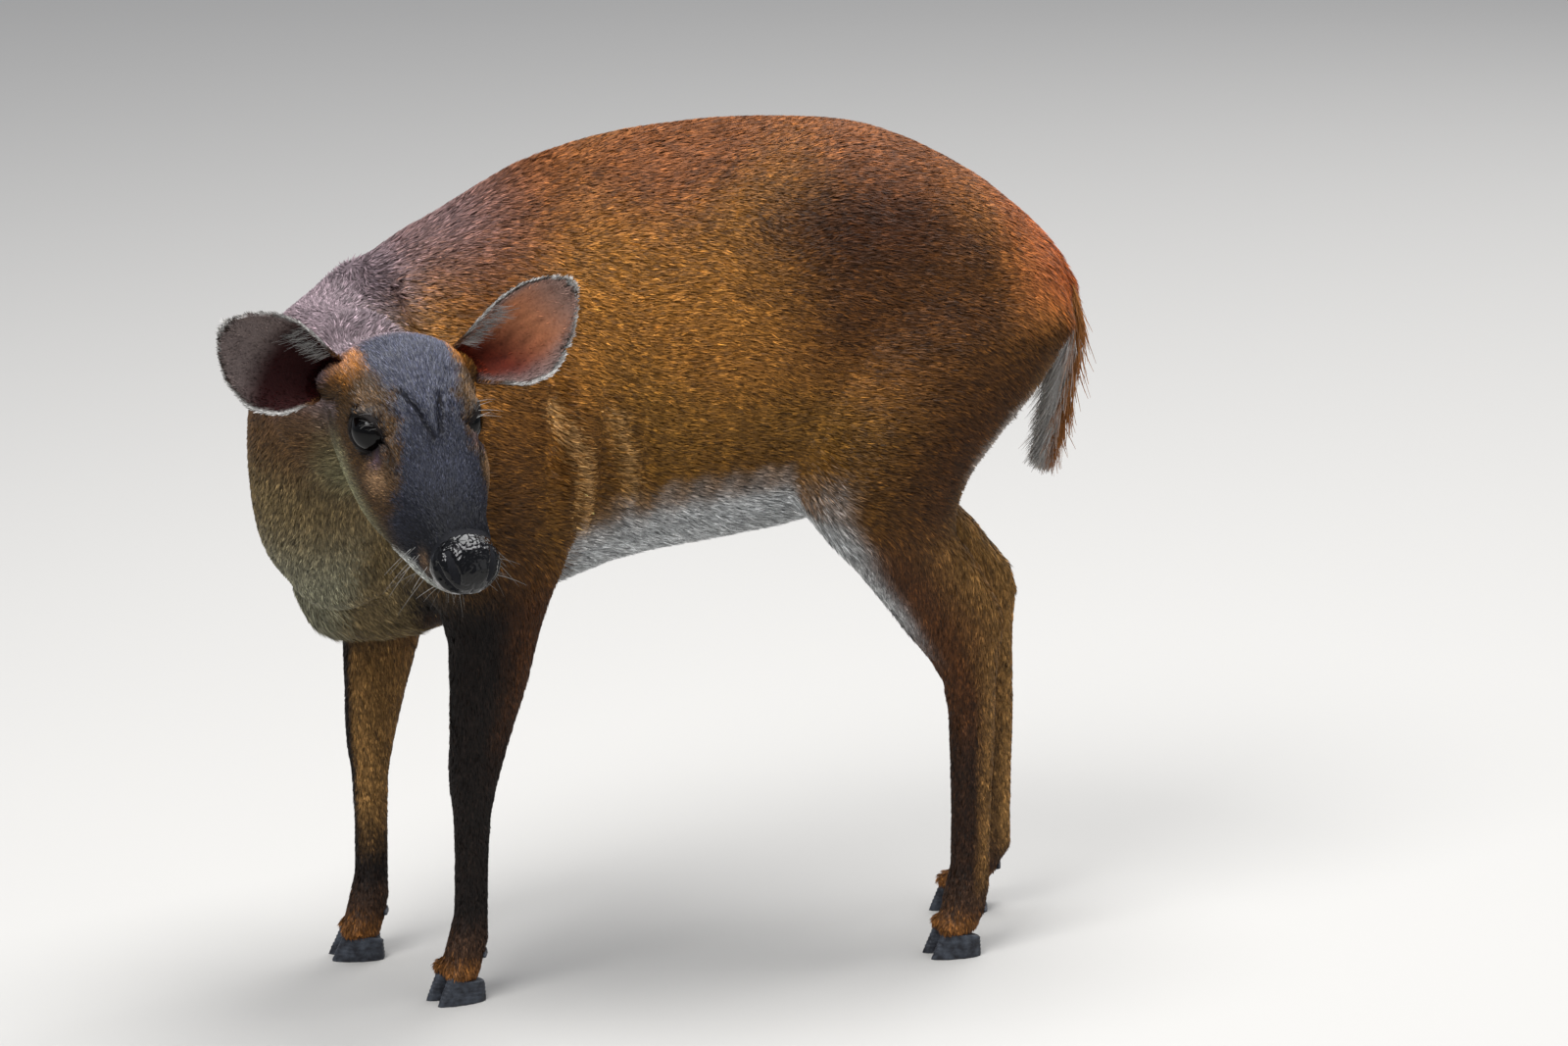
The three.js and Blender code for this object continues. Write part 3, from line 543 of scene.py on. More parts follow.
def finer_places(h, level):
    """Points round which the head's mesh is split, from the whole head to its finest lines."""
    on_head = (h[:, 0] > -70) & (np.abs(h[:, 1]) < 50) & (h[:, 2] > -75) & (h[:, 2] < 40)
    if level == 0:
        return on_head
    eyes = np.minimum(*[np.linalg.norm(in_eye(h, s), axis=1) for s in (1, -1)])
    if level == 1:
        brow = (np.abs(h[:, 1]) < 14) & (h[:, 0] > -8) & (h[:, 0] < 30) & (h[:, 2] > 8)
        return on_head & ((eyes < 26) | (h[:, 0] > 55) | brow)
    lids = np.zeros(len(h), bool)
    for side in (1, -1):
        e = in_eye(h, side)
        lids |= (np.abs(lid_distance(e[:, 0], e[:, 1])) < 3.2) & (e[:, 2] > 0) & (eyes < 24)
    gland = np.minimum(distance_to_line(h, GLAND)[0], distance_to_line(h * [1, -1, 1], GLAND)[0])
    mouth = distance_to_line(folded(h), MOUTH)[0]
    return lids | on_head & ((gland < 3.5) | (crease_distance(h) < 3.5) | (mouth < 4))


def face_relief(h):
    """Height over the plain head: creases, glands, mouth, brow ridges and cheeks."""
    out = np.zeros(len(h))
    for line in CREASES:
        d, share = distance_to_line(h, line)
        out += (-3.4 * bump(d, 1.7) + 1.3 * bump(d - 3.4, 1.8)) * (0.35 + 0.65 * np.sin(math.pi * share))
    for side_h in (h, h * [1, -1, 1]):
        d, share = distance_to_line(side_h, GLAND)
        out += (-3.2 * bump(d, 1.6) + 0.9 * bump(d - 3.6, 1.8)) * (0.4 + 0.6 * np.sin(math.pi * share))
    d, _ = distance_to_line(folded(h), MOUTH)
    out += -1.3 * bump(d, 1.0) + 0.5 * bump(d - 2.6, 1.5)
    ridge = np.abs(h[:, 1])
    out += 1.3 * bump(ridge - 9, 5) * bump(h[:, 0] - 2, 20) * (h[:, 2] > 5)
    out += -1.2 * bump(h[:, 0] - 34, 14) * bump(ridge - 20, 6) * (h[:, 2] > -12)
    out += 1.2 * bump(h[:, 0] - 22, 14) * bump(ridge - 34, 7) * bump(h[:, 2] + 12, 9)
    return out


def open_lids(h):
    """Lays the skin round each eye on its ball, proud of it at the lids and behind it between them."""
    for side in (1, -1):
        e = in_eye(h, side)
        rho = np.linalg.norm(e, axis=1)
        flat = e[:, :2] / np.maximum(rho, 1)[:, None] * EYE_RADIUS
        s = lid_distance(flat[:, 0], flat[:, 1])
        lid = EYE_RADIUS - 2.2 + (2.2 + EYELID_PROUD) * smoothstep(-1.1, 0.35, s)
        fold = -0.9 * bump(s - 4.2, 1.0) + 0.6 * bump(s - 6.2, 1.3)
        fold = fold * np.where(flat[:, 1] > 0, 1.0, 0.6)
        away = smoothstep(1.0, 5.5, s)
        radius = lid * (1 - away) + rho * away + fold * (s > 1)
        e = np.where(near_eye(e, EYE_RADIUS + 9)[:, None], unit(e) * radius[:, None], e)
        h = e @ eye_axes(side) + eye_place(side)
    return h


def sculpt_head(v, t):
    for level in (0, 1, 2):
        v, t = refined(v, t, finer_places(to_head(v), level)[t].any(1))
        h = to_head(v)
        v = smoothed(v, t, 3, 0.5 * ((h[:, 0] > -70) & (np.abs(h[:, 1]) < 60)), 0.9)
    v = v + normals_of(v, t) * face_relief(to_head(v))[:, None]
    return from_head(open_lids(to_head(v))), t


# Ears: thin leaves, rolled into a tube at the root

def ear_axes(name):
    root, tip, front = (np.array(a, float) for a in EARS[name])
    along = unit(tip)
    front = unit(front - along * (front @ along))
    return root, np.array([along, -np.cross(along, front), front])


EAR_SHARES = [0, 0.12, 0.3, 0.5, 0.72, 0.88, 0.96, 1]
EAR_ABOVE = [17, 19, 23, 25, 22, 14, 7.5, 2.6]
EAR_BELOW = [24, 36, 44, 41, 30, 17, 9, 3]
EAR_CURL = [[0, 0.2, 0.4, 0.7, 1], [13, 19, 30, 52, 80]]


def ear_leaf(name):
    """The leaf as arrays, with each point's share of the length, place across and side (1 is the inside)."""
    steps, across = 56, 40
    share = np.linspace(0, 1, steps + 1)
    above = np.interp(share, EAR_SHARES, EAR_ABOVE)
    below = np.interp(share, EAR_SHARES, EAR_BELOW)
    curl = np.interp(share, *EAR_CURL)
    for line in (above, below, curl):
        for _ in range(3):
            line[1:-1] = (line[:-2] + 2 * line[1:-1] + line[2:]) / 4
    s = np.linspace(-1, 1, across + 1)
    t2, s2 = np.meshgrid(share, s, indexing="ij")
    lower = s2 * SIDE[name] < 0
    nick = np.zeros_like(t2)
    if name == "left":
        nick = 2.6 * bump(t2 - 0.63, 0.018) + 1.8 * bump(t2 - 0.7, 0.012)
    arc = np.where(lower, below[:, None] - nick * lower, above[:, None])
    angle = s2 * arc / curl[:, None]
    rings = []
    for inside in (0, 1):
        thick = EAR_THICKNESS * (1.05 - 0.4 * t2) * np.clip((1 - np.abs(s2)) * 9, 0.12, 1)
        thick = thick * np.clip((1 - t2) * 14, 0.2, 1)
        depth = curl[:, None] - inside * thick
        ripple = 0.5 * np.sin(9 * s2 + 4 * t2) * t2
        rings.append(np.stack([
            t2 * EAR_LENGTH, depth * np.sin(angle),
            curl[:, None] - depth * np.cos(angle) - EAR_SINK * (1 - t2) + ripple,
        ], -1))
    root, axes = ear_axes(name)
    v = np.concatenate([r.reshape(-1, 3) for r in rings])
    v = from_head(v @ axes + root)
    count = (steps + 1) * (across + 1)
    grid = np.arange(count).reshape(steps + 1, across + 1)
    sheet = cells(grid[:-1, :-1], grid[:-1, 1:], grid[1:, 1:], grid[1:, :-1])
    border = np.concatenate([grid[0, :-1], grid[:-1, -1], grid[-1, :0:-1], grid[:0:-1, 0]])
    after = np.roll(border, -1)
    rim = np.concatenate([np.stack([border, after, border + count], 1),
                          np.stack([after, after + count, border + count], 1)])
    t = np.concatenate([sheet[:, ::-1], sheet + count, rim])
    if np.einsum("ij,ij->", np.cross(v[t[:, 0]], v[t[:, 1]]), v[t[:, 2]]) < 0:
        t = t[:, ::-1]
    place = np.stack([np.tile(t2.ravel(), 2), np.tile(s2.ravel(), 2), np.repeat([0.0, 1.0], count)], 1)
    return v, t, place


def united(v, t, others):
    """The skin and the ears as one closed surface."""
    base = mesh_from("skin_base", v, t)
    tools = [mesh_from("skin_ear", ov, ot) for ov, ot in others]
    for tool in tools:
        cut = base.modifiers.new("join", "BOOLEAN")
        cut.operation = "UNION"
        cut.solver = "MANIFOLD"
        cut.object = tool
    arrays = modified(base)
    for tool in tools:
        bpy.data.objects.remove(tool)
    return merged(*arrays)


# Masks: how much each point belongs to a part of the body

LEG_TOP = 300


def masks(p):
    h = to_head(p)
    m = {"h": h}
    m["head"] = smoothstep(-78, -52, h[:, 0]) * smoothstep(-92, -68, h[:, 2]) * (np.abs(h[:, 1]) < 60)
    m["neck_share"] = distance_to_line(p, NECK_LINE)[1]
    m["neck"] = smoothstep(-196, -232, p[:, 0] + 0.25 * (p[:, 2] - 350)) * (1 - m["head"])
    m["neck"] *= smoothstep(232, 262, p[:, 2])
    leg = np.zeros(len(p))
    for line in LEG_LINES.values():
        near = smoothstep(60, 44, distance_to_line(p, line)[0])
        leg = np.maximum(leg, smoothstep(LEG_TOP, LEG_TOP - 50, p[:, 2]) * near)
    m["leg"] = leg * (1 - m["head"])
    m["tail_d"], m["tail_share"] = distance_to_line(p, TAIL_LINE)
    m["tail"] = smoothstep(22, 17, m["tail_d"]) * smoothstep(0.06, 0.2, m["tail_share"]) * (p[:, 0] > 180)
    return m


def lie_of_coat(p, n, m):
    """The direction that the hair runs from its root, along the skin."""
    x, z = p[:, 0], p[:, 2]
    fall = -0.22 - 0.5 * smoothstep(60, 180, x) - 0.5 * smoothstep(330, 260, z)
    down = np.stack([1 - 0.5 * smoothstep(100, 200, x), 0 * x, fall], 1)
    chest = smoothstep(-215, -262, x)[:, None]
    down = down * (1 - chest) + np.array([0.25, 0.0, -1.0]) * chest
    leg = np.stack([0.12 + 0 * x, 0 * x, -1 + 0 * x], 1)
    neck = -way_along(NECK_LINE, m["neck_share"])
    neck[:, 2] -= 0.75 * (1 - smoothstep(-0.1, 0.5, n[:, 2]))
    h = m["h"]
    y = np.abs(h[:, 1])
    cheek = smoothstep(8, 34, y) * smoothstep(14, -20, h[:, 2])
    outward = 0.35 * np.sign(h[:, 1]) * smoothstep(2, 20, y)
    head = np.stack([-1 + 0 * x, outward, -0.75 * cheek], 1) @ HEAD_AXES
    tail = way_along(TAIL_LINE, m["tail_share"])
    d = unit(down)
    for part, way in (("leg", leg), ("neck", unit(neck)), ("head", unit(head)), ("tail", tail)):
        d = d * (1 - m[part][:, None]) + unit(way) * m[part][:, None]
    d = d + 0.1 * np.stack([WANDER[k](p) for k in range(3)], 1)
    hip = bell(p, [146, -62, 432], [24, 40, 22])[:, None]
    return along_skin(d + hip * [0.2, 0, 0.9], n)


WANDER = [Waves(s, 70) for s in (1, 2, 3)]
PATCHES = Waves(4, 120)
MOTTLE = Waves(5, 26)
TICKS = Waves(6, 3.8)
TAIL_SPOT = (213, -28, 404)
# Centre (x, z) of a painted shadow on the back.
SHADE_PATCH = (40, 474)
EYE_SURROUND = 30
BODY_X = [-277, -200, -100, 0, 100, 218]
BELLY_Z = [240, 222, 250, 268, 300, 385]
BODY_DEPTH = [180, 255, 266, 260, 215, 60]
# Ridges of the folds behind the shoulder, with the width and strength of the painted highlight on them and of
# the painted shade beside them.
FOLDS = [([[-136, 0, 374], [-126, 0, 355], [-118, 0, 335], [-114, 0, 290]], 4.6, 0.85),
         ([[-97, 0, 366], [-92, 0, 345], [-85, 0, 312]], 4.5, 0.6)]
SPECKS = [((-12, -80, 436), 5), ((96, -78, 372), 6), ((118, -74, 388), 4), ((122, -70, 452), 4),
          ((20, -80, 392), 3.5), ((66, -82, 408), 3.5), ((-60, -76, 470), 3.5)]


def head_paint(h, base):
    y = np.abs(h[:, 1])
    x, z = h[:, 0], h[:, 2]
    c = over(base, "cheek", smoothstep(-56, -34, x + 0.45 * z + 6 * MOTTLE(h)))
    c = over(c, "cheek_bright", 0.8 * bump(x - 30, 9) * bump(z + 8, 8) * (y > 20))
    c = over(c, "cheek_bright", 0.45 * bump(x + 12, 12) * bump(z - 9, 5) * (y > 18))
    c = over(c, "orange", 0.85 * smoothstep(-24, -40, x) * smoothstep(22, 29, y) * smoothstep(-8, 6, z))
    low = smoothstep(-20, -44, z)
    c = over(c, "jaw", low * smoothstep(70, 30, x) * smoothstep(-38, -6, x))
    c = over(c, "lip", 0.55 * smoothstep(-30, -50, z + 0.35 * np.maximum(x, 0)) * smoothstep(20, 60, x))
    c = mix(c, PAINT["muzzle"] * 1.6, 0.75 * smoothstep(38, 62, x) * smoothstep(-34, -18, z + 0.1 * x))
    c = over(c, "cheek_bright", 0.45 * bump(x - 84, 7) * bump(z + 9, 5) * (y > 10))
    half = np.interp(x, [-80, -50, -30, -12, 5, 22, 40, 60, 110], [20, 26, 25, 19, 18, 21, 25, 31, 40])
    mask = smoothstep(half + 3.5, half - 3.5, y + 1.6 * MOTTLE(h * 2.2)) * smoothstep(-16, -2, z + 0.22 * x)
    tone = over(plain("crown", len(h)), "mask", smoothstep(-25, 25, x))
    tone = over(tone, "muzzle", smoothstep(35, 80, x))
    c = mix(c, tone, mask)
    line_z = np.interp(x, *np.array(MOUTH[::-1])[:, [0, 2]].T)
    below = smoothstep(3.5, -1.5, z - line_z) * smoothstep(56, 66, x)
    c = over(c, "lip", 0.92 * below)
    upper = bump(z - line_z - 2.5, 2.2) * smoothstep(60, 80, x)
    c = over(c, "lip", 0.5 * upper * smoothstep(104, 96, x))
    c = over(c, "cheek_bright", 0.5 * bump(x - 88, 6) * bump(z + 10, 5) * (y > 12))
    gland, _ = distance_to_line(folded(h), GLAND)
    c = over(c, "skin_dark", 0.95 * bump(gland, 2.4))
    for line in CREASES:
        c = over(c, "skin_dark", 0.95 * bump(distance_to_line(h, line)[0], 2.1))
    for side in (1, -1):
        e = in_eye(h, side)
        s = lid_distance(e[:, 0], e[:, 1])
        near = near_eye(e, EYE_SURROUND)
        # Dark bare skin round the lids, drawn wide; there and in the patch behind the outer corner it is
        # partly dark skin and lashes, partly painted shadow.
        c = over(c, "skin_dark", near * 0.96 * smoothstep(5.6, 2.2, s))
        outer = bump(np.hypot((e[:, 0] + 18) / 1.4, e[:, 1] - 2), 3.6)
        c = over(c, "skin_dark", near * 0.85 * outer)
        corner = bump(np.hypot(e[:, 0] - 16.5, e[:, 1] + 5), 4.5)
        c = over(c, "lilac", near * 0.6 * corner * (s > 0.6))
    return c


def trunk_paint(p, height):
    x, y, z = p.T
    c = over(plain("ochre", len(p)), "chestnut", smoothstep(0.2, 0.6, height + 0.08 * PATCHES(p)))
    c = over(c, "back", smoothstep(0.72, 0.98, height + 0.05 * PATCHES(p)))
    flank = smoothstep(0.25, 0.55, height) * smoothstep(0.97, 0.75, height)
    # Painted shadow: a patch of shade across the back, as a darker copy of the dark coat colour.
    shade_patch = np.exp(-(((x - SHADE_PATCH[0]) / 62) ** 2) - (((z - SHADE_PATCH[1]) / 30) ** 2))
    c = mix(c, PAINT["dark"] * 0.7, 0.85 * shade_patch)
    # Darker band along the upper flank: partly the coat's own darker hair, partly painted shade.
    c = over(c, "dark", 0.85 * flank * smoothstep(-30, 50, x) * smoothstep(190, 130, x))
    # Darker low on the hind flank and on the lower body: partly the coat's own colour, partly painted shade
    # where the light from above falls off.
    c = over(c, "dark", 0.75 * smoothstep(30, 110, x) * smoothstep(0.66, 0.3, height))
    c = over(c, "dark", 0.45 * smoothstep(0.42, 0.1, height) * smoothstep(-80, -20, x))
    c = over(c, "rump", smoothstep(135, 180, x) * smoothstep(0.35, 0.7, height))
    c = over(c, "rust", 0.85 * smoothstep(176, 204, x + 0.2 * (z - 420)) * smoothstep(385, 420, z))
    c = over(c, "dark", 0.55 * bell(p, [-165, 0, 350], [34, 200, 90]))
    # Darker copy of the leg brown high between the forelegs: partly the coat's own colour, partly painted
    # shade.
    c = mix(c, PAINT["leg_brown"] * 0.6, 0.75 * bell(p, [-165, 0, 290], [30, 200, 62]))
    # Painted light on the folds: a painted highlight along each ridge and painted shade in the hollows either
    # side.
    for line, wide, amount in FOLDS:
        d, _ = distance_to_line(p * [1, 0, 1], line)
        c = over(c, "fold", amount * bump(d, wide) * (y < -30))
        c = over(c, "dark", 0.5 * amount * bump(d - 2.2 * wide, wide) * (y < -30))
    return c


def neck_paint(c, p, height):
    x, z = p[:, 0], p[:, 2]
    neck = over(plain("olive", len(p)), "neck_grey", smoothstep(0.72, 1.0, height))
    neck = over(neck, "throat", smoothstep(330, 270, z) * smoothstep(-245, -270, x))
    neck = over(neck, "leg_brown", 0.7 * smoothstep(-279, -294, x) * smoothstep(330, 370, z))
    c = mix(c, neck, smoothstep(-192, -236, x + 0.1 * (z - 400)))
    return over(c, "neck_grey", 0.7 * smoothstep(-120, -190, x) * smoothstep(0.8, 1.0, height))


def pale_paint(c, p, n, m):
    """The belly, the legs and the pale hair inside and behind them."""
    x, z = p[:, 0], p[:, 2]
    belly = smoothstep(-0.3, -0.62, n[:, 2]) * smoothstep(-185, -120, x) * smoothstep(210, 150, x)
    c = over(c, "belly", belly * (1 - m["leg"]))
    c = mix(c, leg_paint(p, n), m["leg"])
    inner = smoothstep(0.25, 0.7, np.abs(n[:, 1])) * (n[:, 1] * inner_side(p) > 0) * smoothstep(20, 60, x)
    inner = inner * smoothstep(0.25, -0.15, n[:, 0])
    c = over(c, "belly", 0.9 * inner * smoothstep(215, 265, z) * smoothstep(390, 350, z))
    front = smoothstep(-0.2, -0.7, n[:, 0]) * smoothstep(10, 60, x)
    front = front * smoothstep(190, 240, z) * smoothstep(330, 300, z)
    c = over(c, "belly", 0.85 * front)
    behind = smoothstep(0.35, 0.8, n[:, 0]) * smoothstep(400, 370, z)
    behind = behind * smoothstep(250, 300, z) * smoothstep(60, 110, x)
    return over(c, "leg_tan", 0.45 * behind)


def tail_paint(c, p, n, m):
    under_tail = smoothstep(0.2, 0.7, n[:, 0]) * smoothstep(34, 20, m["tail_d"]) * (p[:, 0] > 160)
    under_tail = under_tail * smoothstep(0.25, -0.1, n[:, 2]) * smoothstep(415, 395, p[:, 2])
    c = over(c, "white", 0.9 * under_tail * (1 - m["tail"]))
    dorsal = smoothstep(-0.55, 0.1, n[:, 0] + 0.3 * n[:, 2])
    tail = over(plain("white", len(p)), "tail", dorsal)
    tail = over(tail, "rust", smoothstep(0.34, 0.16, m["tail_share"]))
    c = mix(c, tail, m["tail"])
    return over(c, "white", 0.9 * bump(np.linalg.norm((p - TAIL_SPOT) / [1, 2, 1.2], axis=1), 6.5))


def paint(p, n, m):
    """The coat's colour as linear light, from the place alone."""
    height = (p[:, 2] - np.interp(p[:, 0], BODY_X, BELLY_Z)) / np.interp(p[:, 0], BODY_X, BODY_DEPTH)
    c = neck_paint(trunk_paint(p, height), p, height)
    c = tail_paint(pale_paint(c, p, n, m), p, n, m)
    c = mix(c, head_paint(m["h"], c), m["head"])
    for at, size in SPECKS:
        d = np.linalg.norm((p - at) / [1, 3, 0.6], axis=1)
        c = over(c, "leg_dark", 0.75 * bump(d, size))
    return c


def inner_side(p):
    """The way to the animal's midline: 1 to its right, -1 to its left."""
    middle = np.interp(p[:, 0], [-277, -200, 0, 100, 218], [-8, -1, -3, -14, -24])
    return np.sign(middle - p[:, 1])


def leg_paint(p, n):
    x, z = p[:, 0], p[:, 2]
    hind = smoothstep(-40, 20, x)
    rear = smoothstep(-0.1, 0.55, n[:, 0])
    inner = smoothstep(0.1, 0.65, n[:, 1] * inner_side(p))
    fore = over(plain("leg_dark", len(p)), "leg_brown", rear * smoothstep(120, 240, z))
    fore = over(fore, "leg_brown", 0.5 * smoothstep(250, 310, z))
    fore = over(fore, "leg_tan", 0.8 * inner * smoothstep(60, 110, z) * smoothstep(235, 180, z))
    back = over(plain("leg_brown", len(p)), "leg_dark", 0.75 * smoothstep(190, 120, z) * (1 - rear))
    back = over(back, "leg_tan", 0.7 * rear + 0.3 * inner)
    c = mix(fore, back, hind)
    c = over(c, "foot", smoothstep(60, 34, z))
    return over(c, "orange", 0.45 * smoothstep(34, 22, z))


# Coat: flat tufts of four corners, pointed at both ends, that lie along the body

UV_PATCH = 0.0015


def coat_length(p, n, m):
    x, z = p[:, 0], p[:, 2]
    long = 6.6 + 0.7 * PATCHES(p)
    long += 3.5 * smoothstep(-0.4, -0.8, n[:, 2]) * (1 - m["leg"])
    long += 2.5 * smoothstep(150, 200, x)
    long = long * (1 - m["neck"]) + 5.8 * m["neck"]
    long = long * (1 - m["leg"]) + (4.2 + 2.5 * smoothstep(120, 260, z)) * m["leg"]
    h = m["h"]
    face = 3.0 + 2.6 * smoothstep(20, -50, h[:, 0]) + 1.2 * smoothstep(-20, -50, h[:, 2])
    return long * (1 - m["head"]) + face * m["head"]


def spread_points(v, t, count, weight, draw):
    """Places at random on the surface, as corners' shares of chosen triangles."""
    area = np.linalg.norm(np.cross(v[t[:, 1]] - v[t[:, 0]], v[t[:, 2]] - v[t[:, 0]]), axis=1) * weight
    edges = np.cumsum(area)
    which = np.searchsorted(edges, draw.uniform(0, edges[-1], count)).clip(0, len(t) - 1)
    a, b = draw.uniform(size=(2, count))
    over = a + b > 1
    a[over], b[over] = 1 - a[over], 1 - b[over]
    return which, np.stack([1 - a - b, a, b], 1)


def at_points(values, t, which, shares):
    return np.einsum("ij,ijk->ik", shares, values[t[which]])


def kites(root, d, n, long, wide, lift, roll):
    """Four corners for each tuft: root, two at the widest place and the tip."""
    side = np.cross(n, d)
    side = unit(side * np.cos(roll)[:, None] + n * np.sin(roll)[:, None])
    rise = np.sin(lift)[:, None]
    start = root - n * 0.35
    middle = root + d * (0.42 * long)[:, None] + n * (0.42 * long)[:, None] * rise
    tip = root + d * long[:, None] + n * (long[:, None] * rise * 0.72)
    half = (wide / 2)[:, None]
    return np.stack([start, middle - side * half, middle + side * half, tip], 1)


def tuft_object(name, corners, colours, root, root_n):
    """One mesh of many tufts. corners: count x 4 x 3, colours: count x 4 x 3."""
    count = len(corners)
    base = np.arange(count)[:, None] * 4
    t = np.concatenate([base + [0, 1, 2], base + [1, 3, 2]], 1).reshape(-1, 3)
    obj = mesh_from(name, corners.reshape(-1, 3), t)
    finish_piece(obj, colours.reshape(-1, 3), coat_look)
    patch = np.array([[0, -1], [-0.6, 0], [0.6, 0], [0, 1]]) * UV_PATCH
    set_uv(obj, np.repeat(chart(root, root_n), 4, 0) + np.tile(patch, (count, 1)))


def finish_piece(obj, colours, material):
    mesh = obj.data
    layer = mesh.color_attributes.new("Coat", "FLOAT_COLOR", "POINT")
    rgba = np.concatenate([np.clip(colours, 0, 1), np.ones((len(colours), 1))], 1)
    layer.data.foreach_set("color", rgba.astype(np.float32).ravel())
    mesh.materials.append(material)
    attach(obj, "root")


def set_uv(obj, uv):
    mesh = obj.data
    layer = mesh.uv_layers.new(name="OFBake")
    index = np.empty(len(mesh.loops), np.int32)
    mesh.loops.foreach_get("vertex_index", index)
    layer.data.foreach_set("uv", uv[index].astype(np.float32).ravel())


# Unwrap of the skin: a chart for each part of the body and each way that it faces, side by side on shelves

class Unwrap:
    def __init__(self, p, n):
        key = self.keys(p, n)
        self.low, size = {}, {}
        for k in np.unique(key):
            flat = self.flat(p[key == k], k)
            self.low[k] = flat.min(0) - 2
            size[k] = flat.max(0) - self.low[k] + 2
        order = sorted(size, key=lambda k: -size[k][1])
        width = math.sqrt(sum(s[0] * s[1] for s in size.values())) * 1.12
        x = y = shelf = 0.0
        self.place = {}
        for k in order:
            if x + size[k][0] > width:
                x, y, shelf = 0.0, y + shelf, 0.0
            self.place[k] = np.array([x, y])
            x += size[k][0]
            shelf = max(shelf, size[k][1])
        self.scale = 0.99 / max(width, y + shelf)

    def keys(self, p, n):
        m = masks(p)
        part = np.where(m["head"] > 0.5, 1, 0) + 2 * (m["neck"] > 0.5)
        for i, line in enumerate(LEG_LINES.values()):
            d, _ = distance_to_line(p, line)
            part = np.where((d < 45) & (p[:, 2] < 230) & (m["head"] < 0.5), 4 + i, part)
        part = np.where(m["tail"] > 0.5, 8, part)
        for i, side in enumerate(SIDE):
            root, axes = ear_axes(side)
            e = (to_head(p) - root) @ axes.T
            part = np.where((e[:, 0] > 6) & (np.abs(e[:, 1]) < 50) & (np.abs(e[:, 2]) < 45), 9 + i, part)
        way = np.abs(n).argmax(1)
        sign = np.take_along_axis(n, way[:, None], 1)[:, 0] > 0
        return part * 6 + way * 2 + sign

    def flat(self, p, k):
        way = (k % 6) // 2
        return p[:, [a for a in range(3) if a != way]]

    def __call__(self, p, n):
        key = self.keys(p, n)
        out = np.zeros((len(p), 2))
        for k in np.unique(key):
            use = key == k
            if k in self.place:
                out[use] = (self.flat(p[use], k) - self.low[k] + self.place[k]) * self.scale
        return np.clip(out, 0.002, 0.998)


# Materials

def new_material(name):
    material = bpy.data.materials.new(name)
    material.use_nodes = True
    return material, material.node_tree.nodes["Principled BSDF"]


def set_inputs(node, values):
    for name, value in values.items():
        node.inputs[name].default_value = value


def add_noise(tree, scale, detail):
    """Noise in the object's own space."""
    place = tree.nodes.new("ShaderNodeTexCoord")
    noise = tree.nodes.new("ShaderNodeTexNoise")
    set_inputs(noise, {"Scale": scale, "Detail": detail})
    tree.links.new(place.outputs["Object"], noise.inputs["Vector"])
    return noise


def add_bump(tree, noise, shader, strength, height):
    rise = tree.nodes.new("ShaderNodeBump")
    set_inputs(rise, {"Strength": strength, "Distance": height})
    tree.links.new(noise.outputs["Fac"], rise.inputs["Height"])
    tree.links.new(rise.outputs["Normal"], shader.inputs["Normal"])


def coat_material(name, roughness, bump_height, bump_scale):
    """Hair and skin take the painted colour, with fine grain of their own."""
    material, shader = new_material(name)
    tree = material.node_tree
    painted = tree.nodes.new("ShaderNodeVertexColor")
    painted.layer_name = "Coat"
    grain = add_noise(tree, bump_scale, 3)
    spread = tree.nodes.new("ShaderNodeMapRange")
    set_inputs(spread, {"From Min": 0.3, "From Max": 0.7, "To Min": 0.82, "To Max": 1.16})
    tree.links.new(grain.outputs["Fac"], spread.inputs["Value"])
    toned = tree.nodes.new("ShaderNodeVectorMath")
    toned.operation = "SCALE"
    tree.links.new(painted.outputs["Color"], toned.inputs[0])
    tree.links.new(spread.outputs["Result"], toned.inputs["Scale"])
    tree.links.new(toned.outputs["Vector"], shader.inputs["Base Color"])
    add_bump(tree, grain, shader, 0.5, bump_height)
    set_inputs(shader, {"Roughness": roughness, "Sheen Weight": 0.0, "Specular IOR Level": 0.2})
    return material


def wet_material(name, colours, scale, roughness, coat, height):
    """Dark wet or horny surface: two tones by noise, with small pores."""
    material, shader = new_material(name)
    tree = material.node_tree
    noise = add_noise(tree, scale, 4)
    ramp = tree.nodes.new("ShaderNodeValToRGB")
    for element, colour, at in zip(ramp.color_ramp.elements, colours, (0.35, 0.7)):
        element.position = at
        element.color = (*linear(colour), 1)
    tree.links.new(noise.outputs["Fac"], ramp.inputs["Fac"])
    tree.links.new(ramp.outputs["Color"], shader.inputs["Base Color"])
    add_bump(tree, noise, shader, 0.35, height)
    set_inputs(shader, {"Roughness": roughness, "Coat Weight": coat, "Coat Roughness": 0.06,
                        "Specular IOR Level": 0.2})
    return material


coat_look = coat_material("coat_hair", 0.55, 0.0001, 900)
skin_look = coat_material("skin", 0.75, 0.0006, 650)
eye_look = wet_material("eye", ("020203", "070403"), 60, 0.04, 0.0, 0.0)
nose_look = wet_material("nose", ("010102", "040406"), 800, 0.16, 0.3, 0.0001)
horn_look = wet_material("horn", ("26272c", "454a52"), 220, 0.45, 0.0, 0.0004)


# Building the skin

body_v, body_t = build_body()
body_v = sculpt_body(body_v, normals_of(body_v, body_t))
body_v, body_t = sculpt_head(body_v, body_t)
leaves = {name: ear_leaf(name) for name in EARS}
skin_v, skin_t = united(body_v, body_t, [leaf[:2] for leaf in leaves.values()])
skin_n = normals_of(skin_v, skin_t)
skin_m = masks(skin_v)


